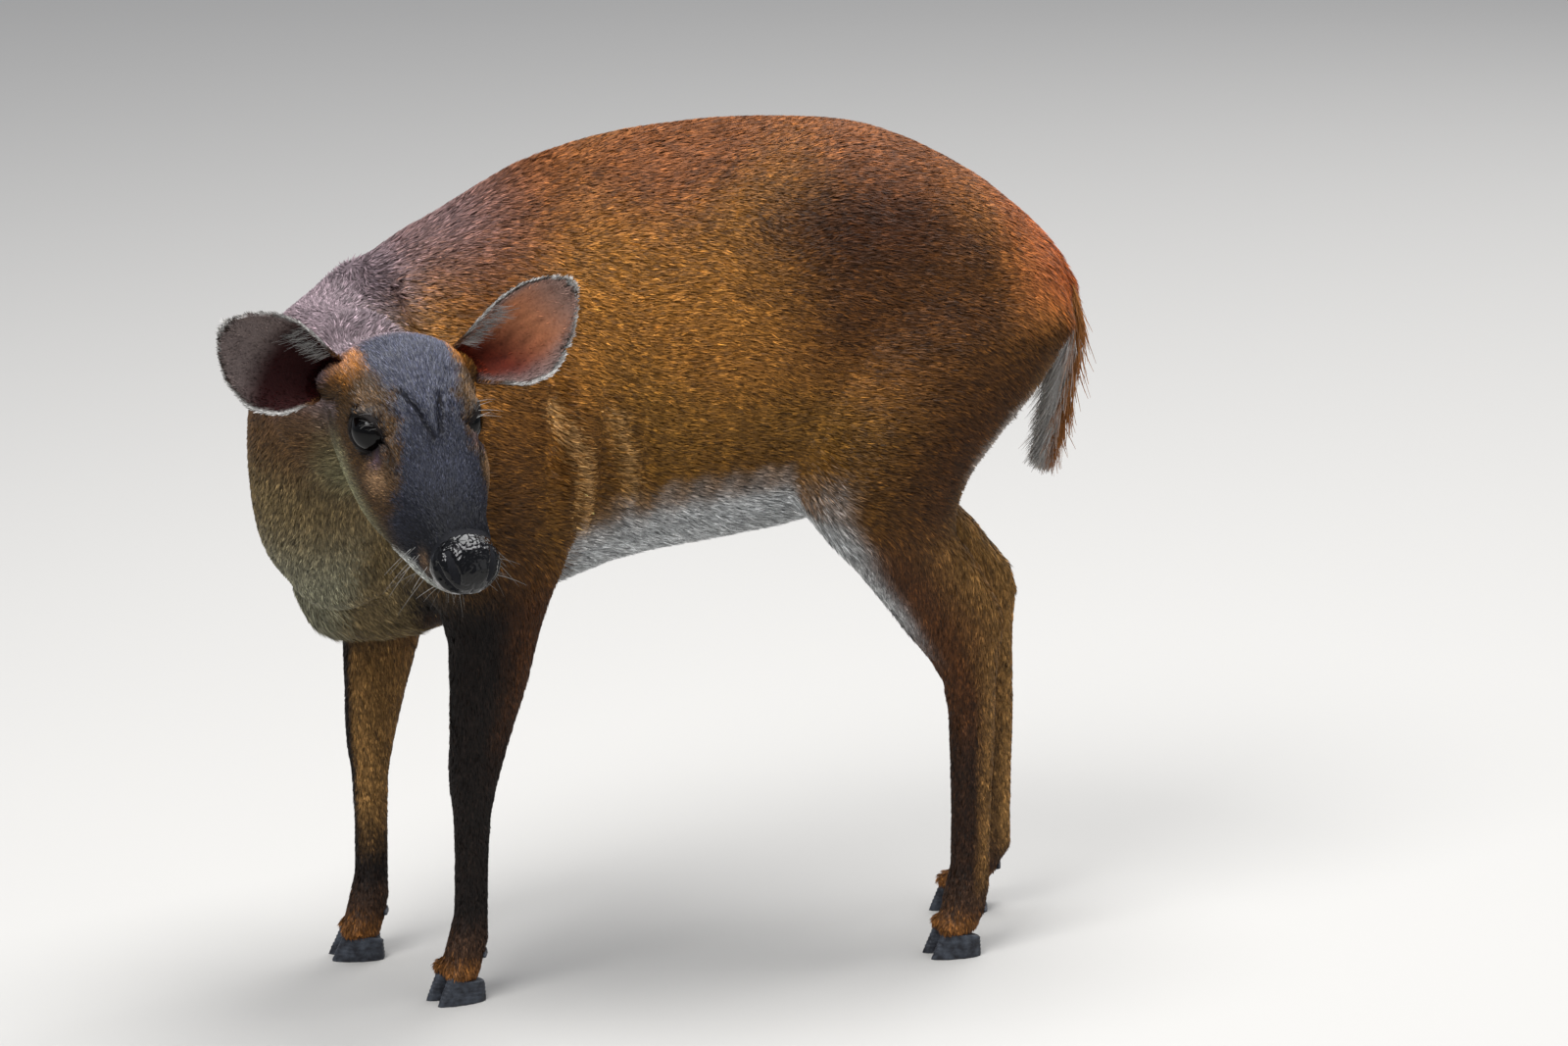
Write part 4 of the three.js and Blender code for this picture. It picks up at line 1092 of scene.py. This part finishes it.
def ear_place(p):
    """For each point: its ear (0 none), share of the ear's length, place across, and whether it is inside."""
    out = np.zeros((len(p), 4))
    h = to_head(p)
    shares, above, below = np.delete([EAR_SHARES, EAR_ABOVE, EAR_BELOW], -2, axis=1)
    for i, name in enumerate(EARS):
        root, axes = ear_axes(name)
        e = (h - root) @ axes.T
        t = e[:, 0] / EAR_LENGTH
        curl = np.interp(t, *EAR_CURL)
        dz = curl - EAR_SINK * (1 - t) - e[:, 2]
        rho = np.hypot(e[:, 1], dz)
        on = (t > -0.03) & (t < 1.03) & (np.abs(rho - curl) < 4.5) & (dz > -curl)
        angle = np.arctan2(e[:, 1], dz)
        arc = np.abs(angle) * curl
        lower = angle * SIDE[name] < 0
        wide = np.where(lower, np.interp(t, shares, below), np.interp(t, shares, above))
        inside = rho < curl - 0.45 * EAR_THICKNESS
        use = on & (arc < wide + 3)
        across = np.sign(angle) * SIDE[name] * arc / np.maximum(wide, 1)
        out[use] = np.stack([np.full(len(p), i + 1), t, across, inside], 1)[use]
    return out


def ear_paint(place):
    which, share, across, inside = place.T
    wide = np.abs(across)
    back = over(plain("ear_back", len(place)), "orange", 0.4 * smoothstep(0.25, 0.0, share))
    bare = over(plain("ear_pink", len(place)), "ear_red",
                smoothstep(0.62, 0.1, share + 0.25 * across))
    streak = np.sin(across * 26 + 2.2 * np.sin(share * 9)) * np.sin(share * 14 + across * 5)
    bare = bare * (1 + 0.22 * streak * smoothstep(0.9, 0.5, share))[:, None]
    bare = over(bare, "ear_grey", smoothstep(0.55, 0.95, np.maximum(wide, share)) * 0.8)
    blots = np.sin(share * 31 + 9 * across) * np.sin(across * 17 - 5 * share)
    bare = over(bare, "ear_blot_and_shade", 0.5 * smoothstep(0.86, 0.99, blots))
    # Painted shade: the right ear's inside is painted dark red-black, greying towards the tip, where the left
    # ear's bare skin is pink.
    right = which == 2
    dark = plain("ear_blot_and_shade", len(place))
    dark = mix(dark, PAINT["ear_grey"] * 0.8, smoothstep(0.42, 0.7, share))
    bare = np.where(right[:, None], dark, bare)
    c = mix(back, bare, inside)
    rim = np.maximum(smoothstep(0.93, 0.99, wide), smoothstep(0.955, 0.99, share))
    return over(c, "white", 0.85 * rim * smoothstep(0.12, 0.3, share))


def full_paint(p, n, m, ears):
    c = paint(p, n, m)
    on = ears[:, 0] > 0
    c[on] = ear_paint(ears[on])
    return c


skin_ears = ear_place(skin_v)
skin_c = full_paint(skin_v, skin_n, skin_m, skin_ears)
chart = Unwrap(skin_v, skin_n)
skin = mesh_from("skin", skin_v, skin_t)
finish_piece(skin, skin_c * 0.8, skin_look)
set_uv(skin, chart(skin_v, skin_n))
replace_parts(skin, *[n for n in FLESH if n != "nose_pad"], "ear_left", "ear_right", "tail")


# Nose pad, eyes and hooves, each finer than the frame's

NOSE_VOXEL = 0.75


def build_nose():
    v, t = voxelised(*grown(*node_arrays("nose_pad"), 0.5), NOSE_VOXEL)
    v = smoothed(v, t, 14, 0.5, 0.9)
    draw = np.random.default_rng(8)
    n = normals_of(v, t)
    h = to_head(v)
    seeds = v[draw.choice(len(v), 330, replace=False)]
    near = np.full((len(v), 2), 1e9)
    for start in range(0, len(v), 4000):
        d = np.sort(np.linalg.norm(v[start : start + 4000, None] - seeds[None], axis=2), 1)
        near[start : start + 4000] = d[:, :2]
    cell = smoothstep(0.0, 1.1, near[:, 1] - near[:, 0])
    pebble = smoothstep(-6, 6, h[:, 2]) * 0.75 + 0.25
    v = v + n * (0.36 * (cell - 0.6) * pebble)[:, None]
    across = np.abs(h[:, 1])
    nostril = bump(across - 11 - 0.35 * (h[:, 2] - 6), 2.3) * bump(h[:, 2] - 6.5, 4.2) * (h[:, 0] > 94)
    v = v - n * (4.2 * nostril)[:, None]
    rim = bump(across - 7.6, 1.6) * bump(h[:, 2] - 6.5, 4.6) * (h[:, 0] > 94)
    v = v + n * (0.9 * rim)[:, None]
    groove = bump(h[:, 1], 0.8) * smoothstep(6, -4, h[:, 2]) * smoothstep(98, 106, h[:, 0])
    return v - n * (0.9 * groove)[:, None], t


nose_v, nose_t = build_nose()
nose = mesh_from("nose_pad_wet", nose_v, nose_t)
finish_piece(nose, np.tile(linear("040406"), (len(nose_v), 1)), nose_look)
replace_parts(nose, "nose_pad")


def build_eye(name, side):
    """A ball with a slightly raised cornea, its poles along the gaze."""
    rings, around = 48, 64
    polar = np.linspace(0, math.pi, rings + 1)[1:-1]
    turn = np.linspace(0, 2 * math.pi, around, endpoint=False)
    radius = EYE_RADIUS + 0.55 * (1 - smoothstep(0.3, 0.85, polar))
    wide, out = (radius * np.sin(polar))[:, None], (radius * np.cos(polar))[:, None]
    ring = np.stack([wide * np.cos(turn), wide * np.sin(turn), out + 0 * turn], -1).reshape(-1, 3)
    v = np.concatenate([ring, [[0, 0, EYE_RADIUS + 0.55], [0, 0, -EYE_RADIUS]]])
    i, j = np.meshgrid(np.arange(rings - 2), np.arange(around), indexing="ij")
    k = (j + 1) % around
    a, b, c, d = i * around + j, i * around + k, (i + 1) * around + k, (i + 1) * around + j
    t = cells(a, d, c, b)
    j = np.arange(around)
    k = (j + 1) % around
    top, low, last = len(v) - 2, len(v) - 1, (rings - 2) * around
    t = np.concatenate([t, np.stack([top + 0 * j, j, k], 1), np.stack([low + 0 * j, last + k, last + j], 1)])
    place = v @ eye_axes(side) + eye_place(side)
    obj = mesh_from(name, from_head(place), t)
    finish_piece(obj, np.tile(linear("030203"), (len(v), 1)), eye_look)
    return obj


def build_horn(node):
    """A hoof with growth rings, or a dewclaw; both stay above the floor."""
    v, t = voxelised(*grown(*node_arrays(node), 0.15), 0.9)
    v = smoothed(v, t, 10, 0.5, 0.9)
    if "hoof" in node:
        ring = 0.22 * np.sin(v[:, 2] * 2.6 + 0.25 * v[:, 0]) * smoothstep(1.5, 4, v[:, 2])
        v = v + normals_of(v, t) * ring[:, None]
    v[:, 2] = np.maximum(v[:, 2], 0)
    horn = mesh_from(node + "_horn", v, t)
    finish_piece(horn, np.tile(linear("33353b"), (len(v), 1)), horn_look)
    return horn


for name, side in SIDE.items():
    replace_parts(build_eye("eyeball_" + name, side), "eye_" + name)
for node in [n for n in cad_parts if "hoof" in n or "dewclaw" in n]:
    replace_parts(build_horn(node), node)


# The coat

TUFTS = 600000
PIECE_TUFTS = 95000
JITTER = 3.2


def coat_weight(v, t):
    """How thick the tufts stand on each triangle: dense on the head, none on bare skin."""
    p = v[t].mean(1)
    m = masks(p)
    w = 1 + 1.9 * m["head"] + 0.9 * m["leg"] * (1 - m["head"])
    h = m["h"]
    for side in (1, -1):
        e = in_eye(h, side)
        near = near_eye(e, EYE_SURROUND)
        w = np.where(near, w * smoothstep(1.6, 3.6, lid_distance(e[:, 0], e[:, 1])), w)
    w *= smoothstep(90.5, 87.5, h[:, 0] + 0.4 * h[:, 2]) * (h[:, 2] > -80) + ((m["head"] < 0.5) * 1.0) > 0.5
    gland, _ = distance_to_line(np.abs(h) * [1, 1, 0] + h * [0, 0, 1], GLAND)
    w = w * np.where(m["head"] > 0.5, smoothstep(0.8, 2.2, gland), 1)
    w = w * np.where(m["head"] > 0.5, 0.04 + 0.96 * smoothstep(1.2, 2.8, crease_distance(h)), 1)
    ears = ear_place(p)
    on = ears[:, 0] > 0
    bare = on & (ears[:, 3] > 0.5) & (ears[:, 1] > 0.09)
    edge = np.maximum(smoothstep(0.6, 0.95, np.abs(ears[:, 2])), smoothstep(0.8, 0.97, ears[:, 1]))
    w = np.where(bare, 0.05 + 0.8 * edge + 0.25 * (ears[:, 0] == 2) * smoothstep(0.3, 0.6, ears[:, 1]), w)
    w = np.where(on & ~bare, 2.2, w)
    return w * (p[:, 2] > 15)


def ear_lie(d, n, ears):
    """Hair on the ears runs to the tip and outward, and along the rim only to the tip."""
    for i, name in enumerate(EARS):
        _, axes = ear_axes(name)
        here = ears[:, 0] == i + 1
        outward = np.sign(ears[here, 2])[:, None] * SIDE[name] * (axes[1] @ HEAD_AXES)
        spread = 0.5 - 0.45 * smoothstep(0.75, 0.95, np.abs(ears[here, 2]))
        d[here] = along_skin(axes[0] @ HEAD_AXES + spread[:, None] * outward, n[here])
    return d


def tuft_corners(root, n, d, m, on_ear, body_part):
    long = coat_length(root, n, m) * rng.uniform(0.75, 1.25, TUFTS)
    long = np.where(on_ear, 2.4 + 1.6 * rng.uniform(size=TUFTS), long)
    wide = 0.62 + 0.32 * body_part + 0.06 * rng.normal(size=TUFTS)
    lift = np.radians(10 + 7 * rng.uniform(size=TUFTS) + 4 * body_part)
    roll = rng.normal(size=TUFTS) * 0.35
    return kites(root, d, n, long, wide, lift, roll)


def tuft_colours(root, colour, m, body_part):
    """Dark at the root, with some tips dark on the body and some tufts pale on the head."""
    uneven = 0.3 * TICKS(root) * body_part + 0.06 * MOTTLE(root)
    light = np.exp((0.27 + 0.2 * m["head"]) * rng.normal(size=TUFTS) + uneven)
    tip_dark = np.where(rng.uniform(size=TUFTS) < 0.16 * body_part, 0.4, 1.12)
    shade = np.stack([0.55 * light, 0.95 * light, 0.95 * light, light * tip_dark], 1)
    chosen = (rng.uniform(size=TUFTS) < 0.3) * (m["h"][:, 2] > 2)
    grizzle = m["head"] * smoothstep(70, -20, m["h"][:, 0]) * chosen
    return colour[:, None] * shade[..., None] + 0.06 * grizzle[:, None, None]


def build_coat():
    which, shares = spread_points(skin_v, skin_t, TUFTS, coat_weight(skin_v, skin_t), rng)
    root = at_points(skin_v, skin_t, which, shares)
    n = unit(at_points(skin_n, skin_t, which, shares))
    m = masks(root)
    ears = ear_place(root)
    on_ear = ears[:, 0] > 0
    body_part = (1 - m["head"]) * (1 - on_ear)
    d = ear_lie(lie_of_coat(root, n, m), n, ears)
    d = along_skin(unit(d + 0.16 * rng.normal(size=d.shape)), n)
    strayed = root + JITTER * rng.normal(size=root.shape) * (1 - 0.6 * m["head"])[:, None]
    colour = full_paint(strayed, n, masks(strayed), ears)
    corners = tuft_corners(root, n, d, m, on_ear, body_part)
    colours = tuft_colours(root, colour, m, body_part)
    order = np.lexsort((root[:, 0], (m["head"] > 0.5) * 1))
    for part, rows in enumerate(np.array_split(order, math.ceil(TUFTS / PIECE_TUFTS))):
        tuft_object(f"coat_{part + 1}", corners[rows], colours[rows], root[rows], n[rows])


build_coat()


# Long hair: the fringe of the tail, the whiskers, the lashes and the hair in the ears

def strands(name, roots, ways, falls, long, wide, colours, root_n, segments):
    """Flat tapering hairs that start one way and bend to another."""
    share = np.linspace(0, 1, segments + 1)
    count = len(roots)
    line = (roots[:, None] + ways[:, None] * (long[:, None] * share)[..., None]
            + falls[:, None] * (long[:, None] * share**2)[..., None])
    ahead = unit(np.gradient(line, axis=1))
    side = unit(np.cross(ahead, root_n[:, None] + 0.001))
    half = wide[:, None] / 2 * np.clip(1.15 - share, 0.12, 1) ** 0.7
    v = np.stack([line - side * half[..., None], line + side * half[..., None]], 2).reshape(-1, 3)
    step = np.arange(segments)[None] * 2 + np.arange(count)[:, None] * (segments + 1) * 2
    obj = mesh_from(name, v, cells(step, step + 1, step + 3, step + 2))
    finish_piece(obj, np.repeat(colours, (segments + 1) * 2, 0), coat_look)
    uv = np.repeat(chart(roots, root_n), (segments + 1) * 2, 0)
    patch = np.stack([np.tile([-1, 1], segments + 1), np.repeat(np.linspace(-1, 1, segments + 1), 2)], 1)
    set_uv(obj, uv + np.tile(patch * UV_PATCH, (count, 1)))


def build_tail_fringe():
    count = 5200
    draw = np.random.default_rng(31)
    share = draw.uniform(0.1, 1, count) ** 0.8
    turn = draw.uniform(-2.0, 2.0, count)
    at = share * (len(TAIL_LINE) - 1)
    centre = read_line(TAIL_LINE, at)
    ahead = unit(read_line(np.gradient(np.array(TAIL_LINE, float), axis=0), at))
    outward = unit(np.cross(ahead, [0, 1, 0]))
    half = read_line(TAIL_HALF, at)
    n = np.sin(turn)[:, None] * [0, 1, 0] - np.cos(turn)[:, None] * outward
    roots = (centre + np.sin(turn)[:, None] * [0, 1, 0] * half[:, :1] * 0.75
             - np.cos(turn)[:, None] * outward * half[:, 1:] * 0.75)
    ways = unit(ahead + n * 0.4 + 0.14 * draw.normal(size=(count, 3)))
    falls = np.array([-0.12, 0, -0.35]) + 0.12 * draw.normal(size=(count, 3))
    long = np.interp(share, [0.1, 0.4, 0.75, 1], [11, 22, 18, 9]) * draw.uniform(0.6, 1.1, count)
    tone = draw.uniform(0.75, 1.1, count)[:, None]
    back = smoothstep(1.0, 1.45, np.abs(turn)) * smoothstep(1.0, 0.8, share)
    colours = mix(plain("white", count), PAINT["tail"], back) * tone
    strands("tail_fringe", roots, ways, falls, long, draw.uniform(0.5, 1.1, count), colours, n,
            5)


def build_whiskers():
    draw = np.random.default_rng(12)
    roots, ways, long = [], [], []
    for side in (1, -1):
        for _ in range(13):
            x = draw.uniform(70, 99)
            z = draw.uniform(-25, -8) - 0.12 * (99 - x)
            roots.append([x, side * np.interp(x, [60, 80, 99], [24, 19, 13.5]) * draw.uniform(0.75, 1), z])
            ways.append([draw.uniform(-0.1, 0.7), side * draw.uniform(0.5, 1.2), draw.uniform(-1.1, -0.2)])
            long.append(draw.uniform(12, 30))
        for _ in range(7):
            roots.append([draw.uniform(-8, 8), side * 33, 11])
            ways.append([draw.uniform(-0.2, 0.5), side * 0.8, draw.uniform(0.3, 0.9)])
            long.append(draw.uniform(9, 17))
    for _ in range(16):
        roots.append([draw.uniform(82, 98), draw.uniform(-7, 7), -29])
        ways.append([draw.uniform(0.1, 0.6), draw.uniform(-0.4, 0.4), -1])
        long.append(draw.uniform(8, 20))
    roots, ways = np.array(roots), unit(np.array(ways))
    world = np.array([body_v[np.linalg.norm(body_v - w, axis=1).argmin()] for w in from_head(roots)])
    ways = ways @ HEAD_AXES
    n = unit(np.cross(ways, [0.2, 0.1, 1.0]))
    colours = plain("white", len(roots)) * draw.uniform(0.25, 0.8, len(roots))[:, None]
    falls = np.tile([0.0, 0.0, -0.14], (len(roots), 1))
    strands("whiskers", world, ways, falls, np.array(long), np.full(len(roots), 0.22), colours, n,
            7)


def build_lashes():
    draw = np.random.default_rng(41)
    roots, ways = [], []
    for side in (1, -1):
        axes = eye_axes(side)
        for x in np.linspace(-13, 9, 46):
            y = np.interp(x, *np.array(UPPER_LID).T) + draw.uniform(0.4, 1.4)
            z = math.sqrt(max((EYE_RADIUS + 1) ** 2 - x * x - y * y, 1.0))
            roots.append(eye_place(side) + np.array([x, y, z]) @ axes)
            ways.append(np.array([-0.35 + 0.02 * x + 0.15 * draw.normal(), 0.45, 1.0]) @ axes)
    n = unit(np.cross(ways, [0.0, 0.0, 1.0])) @ HEAD_AXES
    count = len(roots)
    ways = unit(np.array(ways)) @ HEAD_AXES
    strands("lashes", from_head(roots), ways, np.tile([0.0, 0.0, 0.25], (count, 1)),
            draw.uniform(3.5, 6.0, count), np.full(count, 0.32), plain("skin_dark", count) * 0.6, n,
            4)


EAR_HAIRS = 150


def build_ear_hair():
    """Pale hair that crosses the opening of each ear from its front edge."""
    draw = np.random.default_rng(43)
    for name, (v, _, place) in leaves.items():
        share, across, inside = place.T
        front = across * SIDE[name]
        low_part = (inside > 0.5) & (share > 0.1) & (share < 0.5)
        ready = np.flatnonzero(low_part & (front > 0.45) & (front < 0.97))
        pick = draw.choice(ready, EAR_HAIRS)
        _, axes = ear_axes(name)
        axes = axes @ HEAD_AXES
        inward = -SIDE[name] * axes[1]
        ways = axes[0] * 0.8 + inward * draw.uniform(0.3, 0.9, (EAR_HAIRS, 1)) + axes[2] * 0.4
        ways = ways + 0.18 * draw.normal(size=(EAR_HAIRS, 3))
        colours = plain("white", EAR_HAIRS) * draw.uniform(0.18, 0.7, (EAR_HAIRS, 1))
        strands("ear_hair_" + name, v[pick], unit(ways), np.tile(0.2 * axes[0], (EAR_HAIRS, 1)),
                draw.uniform(5, 11, EAR_HAIRS), np.full(EAR_HAIRS, 0.34), colours,
                np.tile(axes[2], (EAR_HAIRS, 1)), 4)


build_tail_fringe()
build_whiskers()
build_lashes()
build_ear_hair()


# Studio: a pale floor, soft lights and the camera

def studio():
    floor_mesh = bpy.data.meshes.new("floor")
    floor_mesh.from_pydata([(-6, -6, 0), (6, -6, 0), (6, 6, 0), (-6, 6, 0)], [], [(0, 1, 2, 3)])
    floor = bpy.data.objects.new("floor", floor_mesh)
    bpy.context.scene.collection.objects.link(floor)
    look, shader = new_material("floor")
    set_inputs(shader, {"Base Color": (0.5, 0.49, 0.47, 1), "Roughness": 0.9})
    floor_mesh.materials.append(look)
    world = bpy.data.worlds.new("studio")
    bpy.context.scene.world = world
    world.use_nodes = True
    set_inputs(world.node_tree.nodes["Background"], {"Color": (0.86, 0.9, 1.0, 1), "Strength": 0.34})
    for name, place, aim, size, power in (
        ("key", (-1.5, -1.2, 2.8), (0, 0, 0.3), 1.4, 80), ("top", (0.5, 0.2, 2.9), (0, 0, 0.4), 1.8, 95),
        ("fill", (1.8, -2.4, 1.2), (0, 0, 0.3), 2.0, 9), ("rear", (2.2, 1.8, 1.8), (0.1, 0, 0.3), 1.6, 22),
    ):
        light = bpy.data.lights.new(name, "AREA")
        light.size = size
        light.energy = power
        lamp = bpy.data.objects.new(name, light)
        lamp.location = place
        lamp.rotation_euler = (Vector(aim) - Vector(place)).to_track_quat("-Z", "Y").to_euler()
        bpy.context.scene.collection.objects.link(lamp)


def camera():
    right = np.array([math.cos(CAMERA_TURN), -math.sin(CAMERA_TURN), 0])
    ahead = np.array([math.sin(CAMERA_TURN) * math.cos(CAMERA_RISE),
                      math.cos(CAMERA_TURN) * math.cos(CAMERA_RISE), -math.sin(CAMERA_RISE)])
    above = np.cross(right, ahead)
    place = (CAMERA_TARGET - ahead * CAMERA_DISTANCE + SHIFT) * MM
    data = bpy.data.cameras.new("camera")
    data.lens = CAMERA_LENS
    data.sensor_width = 36
    data.clip_end = 50
    cam = bpy.data.objects.new("camera", data)
    turned = np.stack([right, above, -ahead, place], 1)
    cam.matrix_world = Matrix([*turned.tolist(), [0, 0, 0, 1]])
    bpy.context.scene.collection.objects.link(cam)
    bpy.context.scene.camera = cam


studio()
camera()
bpy.context.scene.view_settings.view_transform = "Standard"
